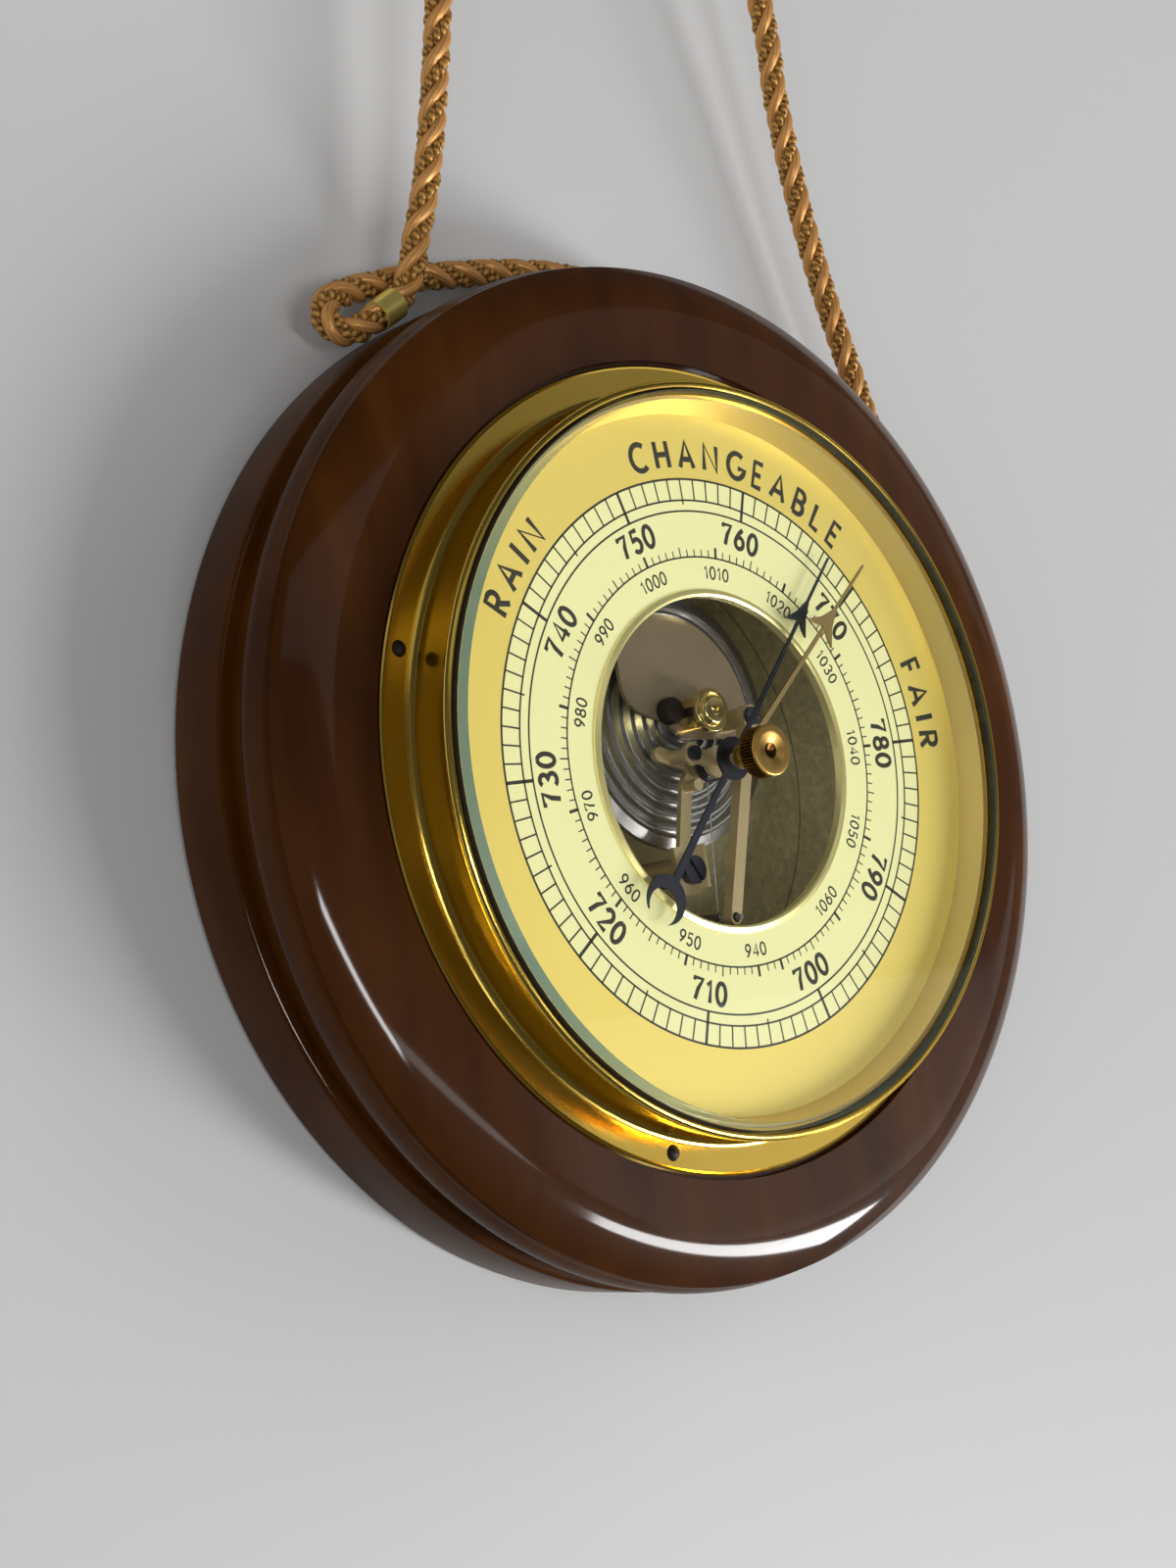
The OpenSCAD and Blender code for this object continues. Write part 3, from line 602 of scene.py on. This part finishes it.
def cord_thread(name, bright, dark, along, around, depth):
    """Thread wound along a strand: along turns in its length and around lines about it. The grooves
    between the turns are painted darker as painted shade.
    """
    f = Finish(name)
    run = f.node("UVMap", {"uv_map": "UVMap"})
    turns = f.part_of(run, "X") * along + f.part_of(run, "Y") * around
    ridge_and_shade = 0.5 + 0.5 * f.node("Math", {"operation": "SINE"}, {0: turns * math.tau})
    fuzz = f.noise(0.5 * MM, 3)
    cloud = f.noise(6 * MM, 3)
    height = ridge_and_shade * 0.6 + fuzz * 0.4
    # Painted shade: the low parts of the ridges take the dark colour; the fuzz is the thread's own
    # variation.
    tint = f.mix(height, dark, bright)
    tint = f.mix(cloud * 0.4, tint, dark)
    return f.done(f.surface(
        base_color=tint, metallic=0.35, roughness=0.32 + 0.15 * fuzz, specular_ior_level=1.0,
        specular_tint=(1.0, 0.78, 0.42), normal=f.bump(height, 0.8, depth),
    ))


# Turned pieces


def finish_mesh(name, bm, material, body="case", replaces=(), sharp=35):
    """Makes a bmesh into a piece that rides on a body, smooth up to the angle sharp."""
    mesh = bpy.data.meshes.new(name)
    bm.to_mesh(mesh)
    bm.free()
    for face in mesh.polygons:
        face.use_smooth = True
    mesh.set_sharp_from_angle(angle=math.radians(sharp))
    piece = new_object(name, mesh)
    mesh.materials.append(material)
    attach(piece, body)
    if replaces:
        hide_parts(*replaces)


def bow(cx, cy, rx, ry, start, end, count=14):
    """Points along an ellipse, between two angles in degrees."""
    angles = [math.radians(start + (end - start) * i / count) for i in range(count + 1)]
    return [(cx + rx * math.cos(a), cy + ry * math.sin(a)) for a in angles]


def arc(centre_r, centre_d, radius, start, end, count):
    """Points of a profile's round stretch, as radius and depth in millimetres."""
    return bow(centre_r, centre_d, radius, radius, start, end, count)


def turned(profile, steps=192, z=0.0, closed=True):
    """Spins a profile of radius and depth in millimetres about the axis along y at height z."""
    bm = bmesh.new()
    points = [bm.verts.new((r * MM, -d * MM, z)) for r, d in profile]
    ends = points[1:] + points[:1] if closed else points[1:]
    rim = [bm.edges.new(pair) for pair in zip(points, ends)]
    bmesh.ops.spin(
        bm, geom=points + rim, cent=(0, 0, z), axis=(0, 1, 0), angle=math.tau, steps=steps,
        use_merge=True,
    )
    bmesh.ops.remove_doubles(bm, verts=bm.verts, dist=1e-6)
    if closed:
        bmesh.ops.recalc_face_normals(bm, faces=bm.faces)
    return bm


# Sizes that the looks share with the model. These four are in metres.

CAPSULE_Z = 8.5 * MM
DIAL_FRONT = -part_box("dial_plate")[0].y
PRINT_HEIGHT = 0.03 * MM
PEG_FOOT = (0.020, 0.0, 0.262)

# The others are radii and depths in millimetres.

# Outer edge of the dial's pale ground
SCALE_OUTER = 46.75
# Beyond this radius the wood's lacquer is thin
THIN_LACQUER = 84.5
# Painted shade in the crease between the floor of the case cup and its corner
CREASE_SHADE_INNER = 41.7
CREASE_SHADE_OUTER = 42.1
# The cup's round corner: its centre's radius and depth, and how far from that centre the
# outside starts
CORNER_RADIUS = 42.9
CORNER_DEPTH = 16.5
CORNER_ROUND = 9.9
# Radii of the glass's hole, its flat face and its bevel's outer edge, then the depths of its
# back, its face and its bevel's outer edge
GLASS_HOLE = 2.1
GLASS_FACE = 58.7
GLASS_EDGE = 60.05
GLASS_BACK = 35.9
GLASS_FRONT = 38.2
GLASS_EDGE_FRONT = 37.5
# The setting knob, and its arbor's end at the bottom of the funnel
ARBOR_RADIUS = 1.2
ARBOR_END = 40.4
KNOB_RADIUS = 4.2
KNOB_BACK = 38.5
KNOB_FRONT = 42.0
# Open parts of the backdrop under the ring and under the peg
RING_OPENING = 82
PEG_OPENING = 13.5

# Refraction of the glass, and the share of its reflection that is shown
GLASS_IOR = 1.5
GLASS_SHINE = 0.4
# Knurls round the setting knob, and the share of its radius that their grooves take
KNURLS = 48
KNURL_SHARE = 0.06

wood = lacquered_wood()
brass = polished_brass("polished_brass", 0.0, (0.88, 0.62, 0.13), 0.15)
dull = dull_brass()
dial_finish = dial_face()
ink = printing_ink()
blue = blued_steel()
boss_finish = polished_brass("polished_boss", CAPSULE_Z, (0.92, 0.78, 0.36), 0.14)
knob_finish = knurled_brass()
sleeve_finish = satin_gilt("satin_sleeve", (0.95, 0.80, 0.24), (0.72, 0.57, 0.13), 0.28)
hand_finish = satin_hand()
works = movement_brass()
steel = drawn_steel("drawn_steel", (0.42, 0.42, 0.43), 1.0)
capsule_finish = pressed_capsule()
leaf_finish = tempered_leaf()
nail_finish = old_nail()
putty = glazing_putty()
glass_finish = clear_glass()
bevel_finish = glass_bevel()

SLOT_FINISHES = {
    "wood": wood,
    "brass": brass,
    "case_brass": dull,
    "dial_gold": dial_finish,
    "clear_glass": glass_finish,
    "putty": putty,
    "hand_brass": hand_finish,
    "blued_steel": blue,
    "movement_brass": works,
    "steel": steel,
    "capsule_silver": capsule_finish,
    "spring_steel": leaf_finish,
    "dark_nail": nail_finish,
}

NODE_FINISHES = {
    "opening_trim": gilt_trim(),
    "reflector_ring": satin_gilt("satin_reflector", (0.92, 0.78, 0.40), (0.78, 0.62, 0.28), 0.34),
    "chain": drawn_steel("pale_chain", (0.62, 0.60, 0.56), 0.4),
}


for part in frame["record"]["subparts"]:
    if part["material_slot"] in SLOT_FINISHES:
        node = frame["nodes"][part["node"]]
        node.data.materials.clear()
        finish = NODE_FINISHES.get(part["node"], SLOT_FINISHES[part["material_slot"]])
        node.data.materials.append(finish)

# Each dark colour is painted shade in the grooves between the threads, and also the strand's own
# darker tone where the cloud falls.
satin_finish = cord_thread(
    "satin_strand", (0.80, 0.42, 0.150), (0.42, 0.190, 0.048),
    along=90, around=9, depth=0.045 * MM,
)
gimp_finish = cord_thread(
    "gimp_strand", (0.86, 0.46, 0.120), (0.05, 0.016, 0.003),
    along=1050, around=1, depth=0.18 * MM,
)
for strands, finish in ((cord_satin, satin_finish), (cord_gimp, gimp_finish)):
    strands.data.materials.clear()
    strands.data.materials.append(finish)


def make_wood_ring():
    """The ring, outlined from its back: disc, groove, bead, torus, flange's seat and bore."""
    bore, seat, seat_depth = 54, 67.5, 26.8
    torus_r, torus_d, torus_round, torus_outer = 74.7, 12.4, 15.6, 84.3
    first = 92 - math.degrees(math.asin((torus_outer - torus_r) / torus_round))
    back_disc = (
        [(bore, 0), (84, 0)] + arc(84, 1, 1, -90, 0, 4)
        + [(85, 11.4)] + arc(84.2, 11.4, 0.8, 0, 90, 4)
    )
    groove = [(82.6, 12.8)] + arc(83.1, 14.4, 0.5, 180, 110, 4)
    bead = arc(79.2, 20.5, 6, -58, 50, 20) + [(84.25, 24.75)]
    torus = arc(torus_r, torus_d, torus_round, first, 90, 24)
    front = [(seat, 27.95), (seat, seat_depth), (bore, seat_depth)]
    profile = back_disc + groove + bead + torus + front
    finish_mesh(
        "turned_wood_ring", turned(profile, 256), wood, replaces=["wood_base"]
    )


def make_glass():
    pane = [
        (GLASS_HOLE, GLASS_BACK), (GLASS_FACE, GLASS_BACK),
        (GLASS_FACE, GLASS_FRONT), (GLASS_HOLE, GLASS_FRONT),
    ]
    finish_mesh(
        "glass_pane", turned(pane), glass_finish, replaces=["glass"], sharp=12
    )
    bevel = turned([(GLASS_EDGE, GLASS_EDGE_FRONT), (GLASS_FACE, GLASS_FRONT)], closed=False)
    finish_mesh("glass_bevel", bevel, bevel_finish, sharp=30)


def make_sleeve(name, centre, along, node):
    """A short smooth brass sleeve round the cord; its centre is in millimetres."""
    turn = Vector(along).to_track_quat("-Y", "Z").to_matrix().to_4x4()
    wall = [(2.3, -2.5), (2.62, -2.4), (2.66, 0), (2.62, 2.4), (2.3, 2.5)]
    bm = turned(wall, 64)
    bmesh.ops.transform(bm, matrix=Matrix.Translation(Vector(centre) * MM) @ turn, verts=bm.verts)
    finish_mesh(name, bm, sleeve_finish, replaces=[node])


def make_post_boss():
    """The boss on the capsule's post: a stem and a flat head with rings round a dimple."""
    cap = (
        [(0, 24.4), (2.6, 24.4), (2.6, 29), (3.6, 29.15)] + arc(3.35, 29.95, 0.25, 0, 90, 4)
        + [(3.05, 30.15)] + arc(2.75, 30.15, 0.2, 0, -180, 6) + arc(1.9, 30.2, 0.6, 0, 90, 8)
        + arc(0.95, 30.75, 0.1, 60, -20, 3) + arc(0, 30.75, 0.75, 0, -90, 8)
    )
    finish_mesh(
        "post_boss_cap", turned(cap, 96, z=CAPSULE_Z), boss_finish, body="lever_body",
        replaces=["post_boss"],
    )


def make_set_knob():
    """The knurled knob, with a funnel in its face down to the arbor's end."""
    funnel = [
        (3.2, KNOB_FRONT), (3.0, KNOB_FRONT), (2.8, KNOB_FRONT - 0.04), (0.95, KNOB_FRONT - 0.55),
        (0.8, KNOB_FRONT - 0.62), (0.12, KNOB_FRONT - 1.02), (0, KNOB_FRONT - 1.05), (0, ARBOR_END),
    ]
    side = [(KNOB_RADIUS, d) for d in (38.7, 38.85, KNOB_FRONT - 0.65, KNOB_FRONT - 0.5)]
    profile = (
        [(ARBOR_RADIUS, KNOB_BACK), (3.95, KNOB_BACK)] + side
        + arc(3.9, KNOB_FRONT - 0.3, 0.3, 20, 90, 4) + funnel + [(ARBOR_RADIUS, ARBOR_END)]
    )
    bm = turned(profile, 6 * KNURLS)
    for vert in bm.verts:
        depth = -vert.co.y / MM
        out = math.hypot(vert.co.x, vert.co.z)
        if out > 4.05 * MM and 38.8 < depth < KNOB_FRONT - 0.6:
            turn = math.atan2(vert.co.x, vert.co.z)
            shrink = 1 - KNURL_SHARE * (0.5 + 0.5 * math.cos(KNURLS * turn))
            vert.co.x *= shrink
            vert.co.z *= shrink
    finish_mesh(
        "knurled_set_knob", bm, knob_finish, body="set_hand_body",
        replaces=["set_knob"],
    )


make_wood_ring()
make_glass()
make_post_boss()
make_set_knob()
make_sleeve("ferrule_sleeve", (-37.2, -8.65, 80.05), (-3.3, 0, -1.9), "cord_ferrule")
make_sleeve("clip_sleeve", (85.4, -8.8, 21), (-1.4, -0.45, 6.6), "cord_clip")


# Printing on the dial

MMHG_LOW = 700
MMHG_END = 800
MMHG_TOP = 755
DEGREES_PER_MMHG = 3.6
HPA_LOW = 940
HPA_END = 1073
HPA_LAST_NUMBER = 1060
MMHG_PER_HPA = 0.750062
# Radii in millimetres of the printed circles inside the outermost one
TICK_CIRCLE = 43.2
NUMBER_CIRCLE = 41.4
HPA_CIRCLE = 33.75
# Middle lines of the numbers and words
MMHG_NUMBERS = 38.35
HPA_NUMBERS = 31.2
WORDS = 50.9


def mmhg_angle(pressure):
    """Clockwise angle from the top of the dial, in degrees."""
    return (pressure - MMHG_TOP) * DEGREES_PER_MMHG


def dial_place(radius, angle):
    """Matrix that stands a flat drawing on the dial: y outwards, at a clockwise angle."""
    turn = Matrix.Rotation(math.radians(angle), 4, "Y")
    return turn @ Matrix.Translation((0, -DIAL_FRONT - PRINT_HEIGHT / 2, radius))


def add_tick(bm, inner, outer, angle, width):
    """A radial line of the scale, from one radius to another, in millimetres."""
    size = Matrix.Diagonal((width * MM, PRINT_HEIGHT, (outer - inner) * MM, 1))
    place = dial_place((inner + outer) / 2 * MM, angle)
    bmesh.ops.create_cube(bm, size=1.0, matrix=place @ size)


def make_ticks():
    bm = bmesh.new()
    for pressure in range(MMHG_LOW, MMHG_END):
        inner, width = TICK_CIRCLE, 0.27
        if pressure % 10 == 0:
            inner, width = NUMBER_CIRCLE, 0.55
        elif pressure % 5 == 0:
            inner, width = 42.5, 0.27
        add_tick(bm, inner, SCALE_OUTER, mmhg_angle(pressure), width)
    for pressure in range(HPA_LOW, HPA_END):
        outer, width = 35.0, 0.2
        if pressure % 10 == 0:
            outer, width = 35.55, 0.5
        elif pressure % 5 == 0:
            outer, width = 35.45, 0.22
        add_tick(bm, HPA_CIRCLE, outer, mmhg_angle(pressure * MMHG_PER_HPA), width)
    finish_mesh("printed_ticks", bm, ink)


def make_circles():
    bm = bmesh.new()
    for radius, width in (
        (SCALE_OUTER, 0.36), (TICK_CIRCLE, 0.3), (NUMBER_CIRCLE, 0.3), (HPA_CIRCLE, 0.28),
    ):
        inner, outer = (radius - width / 2) * MM, (radius + width / 2) * MM
        corners = [
            bm.verts.new((r, -DIAL_FRONT - h, 0))
            for r, h in ((inner, 0), (outer, 0), (outer, PRINT_HEIGHT), (inner, PRINT_HEIGHT))
        ]
        edges = [bm.edges.new((a, b)) for a, b in zip(corners, corners[1:] + corners[:1])]
        bmesh.ops.spin(
            bm, geom=corners + edges, cent=(0, 0, 0), axis=(0, 1, 0), angle=math.tau, steps=240,
            use_merge=True,
        )
    bmesh.ops.remove_doubles(bm, verts=bm.verts, dist=1e-7)
    bmesh.ops.recalc_face_normals(bm, faces=bm.faces)
    finish_mesh("printed_circles", bm, ink)


# Each character is a width and its strokes, on a height of 1
CHARACTERS = {
    "0": (0.60, [bow(0.30, 0.5, 0.28, 0.5, 90, 450, 28)]),
    "1": (0.36, [[(0.04, 0.78), (0.24, 1), (0.24, 0)]]),
    "2": (0.58, [bow(0.29, 0.72, 0.26, 0.28, 170, -35) + [(0.03, 0.0), (0.56, 0.0)]]),
    "3": (0.58, [
        bow(0.27, 0.76, 0.24, 0.24, 150, -90) + bow(0.27, 0.26, 0.28, 0.26, 90, -150),
    ]),
    "4": (0.62, [[(0.46, 0), (0.46, 1), (0.02, 0.27), (0.62, 0.27)]]),
    "5": (0.58, [
        [(0.52, 1), (0.12, 1), (0.07, 0.56)] + bow(0.27, 0.31, 0.27, 0.31, 118, -150),
    ]),
    "6": (0.58, [
        bow(0.29, 0.29, 0.26, 0.29, 0, 360, 24), [(0.44, 1), (0.22, 0.74), (0.05, 0.42)],
    ]),
    "7": (0.56, [[(0.03, 0.86), (0.03, 1), (0.54, 1), (0.30, 0.52), (0.18, 0)]]),
    "8": (0.58, [
        bow(0.29, 0.75, 0.22, 0.25, 0, 360, 24), bow(0.29, 0.25, 0.27, 0.25, 0, 360, 24),
    ]),
    "9": (0.58, [
        bow(0.29, 0.71, 0.26, 0.29, 0, 360, 24), [(0.14, 0), (0.36, 0.26), (0.53, 0.58)],
    ]),
    "A": (0.74, [[(0.02, 0), (0.37, 1), (0.72, 0)], [(0.13, 0.32), (0.61, 0.32)]]),
    "B": (0.56, [
        [(0.04, 0), (0.04, 1), (0.28, 1)] + bow(0.28, 0.76, 0.22, 0.24, 90, -90) + [(0.04, 0.52)],
        [(0.28, 0.52)] + bow(0.28, 0.26, 0.26, 0.26, 90, -90) + [(0.04, 0)],
    ]),
    "C": (0.76, [bow(0.48, 0.5, 0.44, 0.5, 50, 310, 24)]),
    "E": (0.50, [[(0.48, 1), (0.04, 1), (0.04, 0), (0.48, 0)], [(0.04, 0.5), (0.42, 0.5)]]),
    "F": (0.48, [[(0.47, 1), (0.04, 1), (0.04, 0)], [(0.04, 0.5), (0.40, 0.5)]]),
    "G": (0.82, [bow(0.48, 0.5, 0.44, 0.5, 50, 350, 26) + [(0.92, 0.42), (0.56, 0.42)]]),
    "H": (0.68, [[(0.04, 0), (0.04, 1)], [(0.64, 0), (0.64, 1)], [(0.04, 0.5), (0.64, 0.5)]]),
    "I": (0.10, [[(0.05, 0), (0.05, 1)]]),
    "L": (0.48, [[(0.04, 1), (0.04, 0), (0.46, 0)]]),
    "N": (0.72, [[(0.04, 0), (0.04, 1), (0.68, 0), (0.68, 1)]]),
    "R": (0.58, [
        [(0.04, 0), (0.04, 1), (0.28, 1)] + bow(0.28, 0.74, 0.24, 0.26, 90, -90) + [(0.04, 0.48)],
        [(0.26, 0.48), (0.54, 0)],
    ]),
}


def add_word(curve, text, radius, angle, height, gap, inward):
    """Draws a word along a circle of the dial; its characters' middle line is at the radius.

    Its feet point to the dial's centre, or outwards if it is inward.
    """
    advances = [CHARACTERS[c][0] * height for c in text]
    run = -(sum(advances) + gap * (len(text) - 1)) / 2
    sign = -1 if inward else 1
    for character, advance in zip(text, advances):
        middle = math.degrees((run + advance / 2) / radius) * sign
        place = dial_place(radius * MM, angle + middle)
        width = CHARACTERS[character][0]
        for stroke in CHARACTERS[character][1]:
            places = []
            for u, v in stroke:
                across = (u - width / 2) * height * MM * sign
                up = (v - 0.5) * height * MM * sign
                places.append(place @ Vector((across, 0, up)))
            add_line(curve, places)
        run += advance + gap


def make_lettering(name, words, height, stroke, gap):
    """Prints words, drawn as round strokes and then pressed flat; sizes in millimetres."""
    curve = tube_curve(name, stroke / 2 * MM, 2)
    for text, radius, angle, inward in words:
        add_word(curve, text, radius, angle, height - stroke, gap, inward)
    piece = meshed(name, curve)
    centre = Vector((0, -DIAL_FRONT - PRINT_HEIGHT / 2, 0))
    flat = Matrix.Translation(centre) @ Matrix.Diagonal((1, PRINT_HEIGHT / stroke / MM, 1, 1))
    piece.data.transform(flat @ Matrix.Translation(-centre))
    piece.data.materials.clear()
    piece.data.materials.append(ink)
    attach(piece, "case")


def make_numbers_and_words():
    """Each entry is a text, its radius and angle, and whether it is inward."""
    large = [
        (str(p), MMHG_NUMBERS, mmhg_angle(p), p < 730) for p in range(MMHG_LOW, MMHG_END, 10)
    ]
    make_lettering("printed_mmhg_numbers", large, 4.25, 0.78, 0.95)
    small = [
        (str(p), HPA_NUMBERS, mmhg_angle(p * MMHG_PER_HPA), p < 970 or p == HPA_LAST_NUMBER)
        for p in range(HPA_LOW, HPA_LAST_NUMBER + 1, 10)
    ]
    make_lettering("printed_hpa_numbers", small, 2.35, 0.34, 0.5)
    words = [
        ("RAIN", WORDS, mmhg_angle(741.3), False),
        ("CHANGEABLE", WORDS, mmhg_angle(759.6), False),
        ("FAIR", WORDS, mmhg_angle(778), False),
    ]
    make_lettering("printed_weather_words", words, 5.3, 0.92, 2.4)


make_ticks()
make_circles()
make_numbers_and_words()


# Wall, lamps and world


def make_wall():
    """A pale wall that a view from behind looks through, open where the object covers it."""
    bm = bmesh.new()
    bmesh.ops.create_grid(
        bm, x_segments=1, y_segments=1, size=3.0,
        matrix=Matrix.Translation((0, 0.1 * MM, 0)) @ Matrix.Rotation(math.pi / 2, 4, "X"),
    )
    mesh = bpy.data.meshes.new("wall")
    bm.to_mesh(mesh)
    bm.free()
    wall = new_object("wall", mesh)
    f = Finish("painted_wall")
    cloud = f.noise(300 * MM, 2)
    paint = f.mix(cloud * 0.3, (0.50, 0.50, 0.50), (0.46, 0.46, 0.46))
    front = f.surface(
        base_color=paint, roughness=0.5, normal=f.bump(f.noise(1.2 * MM, 2), 0.05, 0.1 * MM)
    )
    behind = f.node("NewGeometry", out="Backfacing") * f.node("LightPath", out="Is Camera Ray")
    from_peg = f.node(
        "VectorMath", {"operation": "DISTANCE"}, {0: f.place, 1: PEG_FOOT}, out="Value"
    )
    uncovered = (f.radius() > RING_OPENING * MM) * (from_peg > PEG_OPENING * MM)
    shares = {0: 1 - uncovered * (1 - behind), 1: front, 2: f.node("BsdfTransparent")}
    mesh.materials.append(f.done(f.node("MixShader", {}, shares)))


def add_lamp(name, place, width, height, power, roll):
    """A rectangular lamp that shines on the dial, rolled by an angle in degrees."""
    data = bpy.data.lights.new(name, "AREA")
    data.shape = "RECTANGLE"
    data.size = width
    data.size_y = height
    data.energy = power
    lamp = new_object(name, data)
    turn = place.to_track_quat("Z", "Y").to_matrix().to_4x4()
    spin = Matrix.Rotation(math.radians(roll), 4, "Z")
    lamp.matrix_world = Matrix.Translation(place) @ turn @ spin
    return lamp


def make_world():
    world = bpy.data.worlds.new("room")
    bpy.context.scene.world = world
    world.use_nodes = True
    background = world.node_tree.nodes["Background"]
    background.inputs["Color"].default_value = (0.80, 0.80, 0.80, 1)
    background.inputs["Strength"].default_value = 0.08


def direction(side, height):
    """The direction at an angle to the right of straight ahead, and an angle up, in degrees."""
    a, b = math.radians(side), math.radians(height)
    return Vector((math.sin(a) * math.cos(b), -math.cos(a) * math.cos(b), math.sin(b)))


make_wall()
make_world()
# Strength is the brightness of the lamp's face; gloss and glass show the mirrored lamps only
for name, side, height, distance, across, tall, roll, strength, mirrored in (
    ("window", 49, -30, 4.0, 2.5, 0.58, -14, 28, True),
    ("low_strip", -8, -13, 3.0, 1.2, 0.17, -34, 26, True),
    ("far_strip", 17, -15, 3.0, 1.6, 0.16, 12, 3, True),
    ("pale_table", 53, -12, 3.0, 1.5, 0.95, 0, 0.62, True),
    ("far_wall", 58, 16, 3.0, 2.0, 0.9, 0, 0.20, True),
    ("pale_ceiling", 4, 22, 3.0, 3.4, 0.75, -20, 0.34, True),
    ("left_room", -42, 6, 4.0, 2.5, 2.5, 0, 0.05, True),
    ("soft_fill", 75, 12, 4.0, 4.0, 4.0, 0, 2.0, False),
    ("left_fill", -60, 5, 4.0, 4.0, 4.0, 0, 1.8, False),
    ("rear_fill", 200, 15, 3.0, 4.0, 4.0, 0, 1.6, True),
):
    place = direction(side, height) * distance
    lamp = add_lamp(name, place, across, tall, strength * math.pi * across * tall, roll)
    lamp.visible_glossy = mirrored

bpy.context.scene.view_settings.view_transform = "Standard"
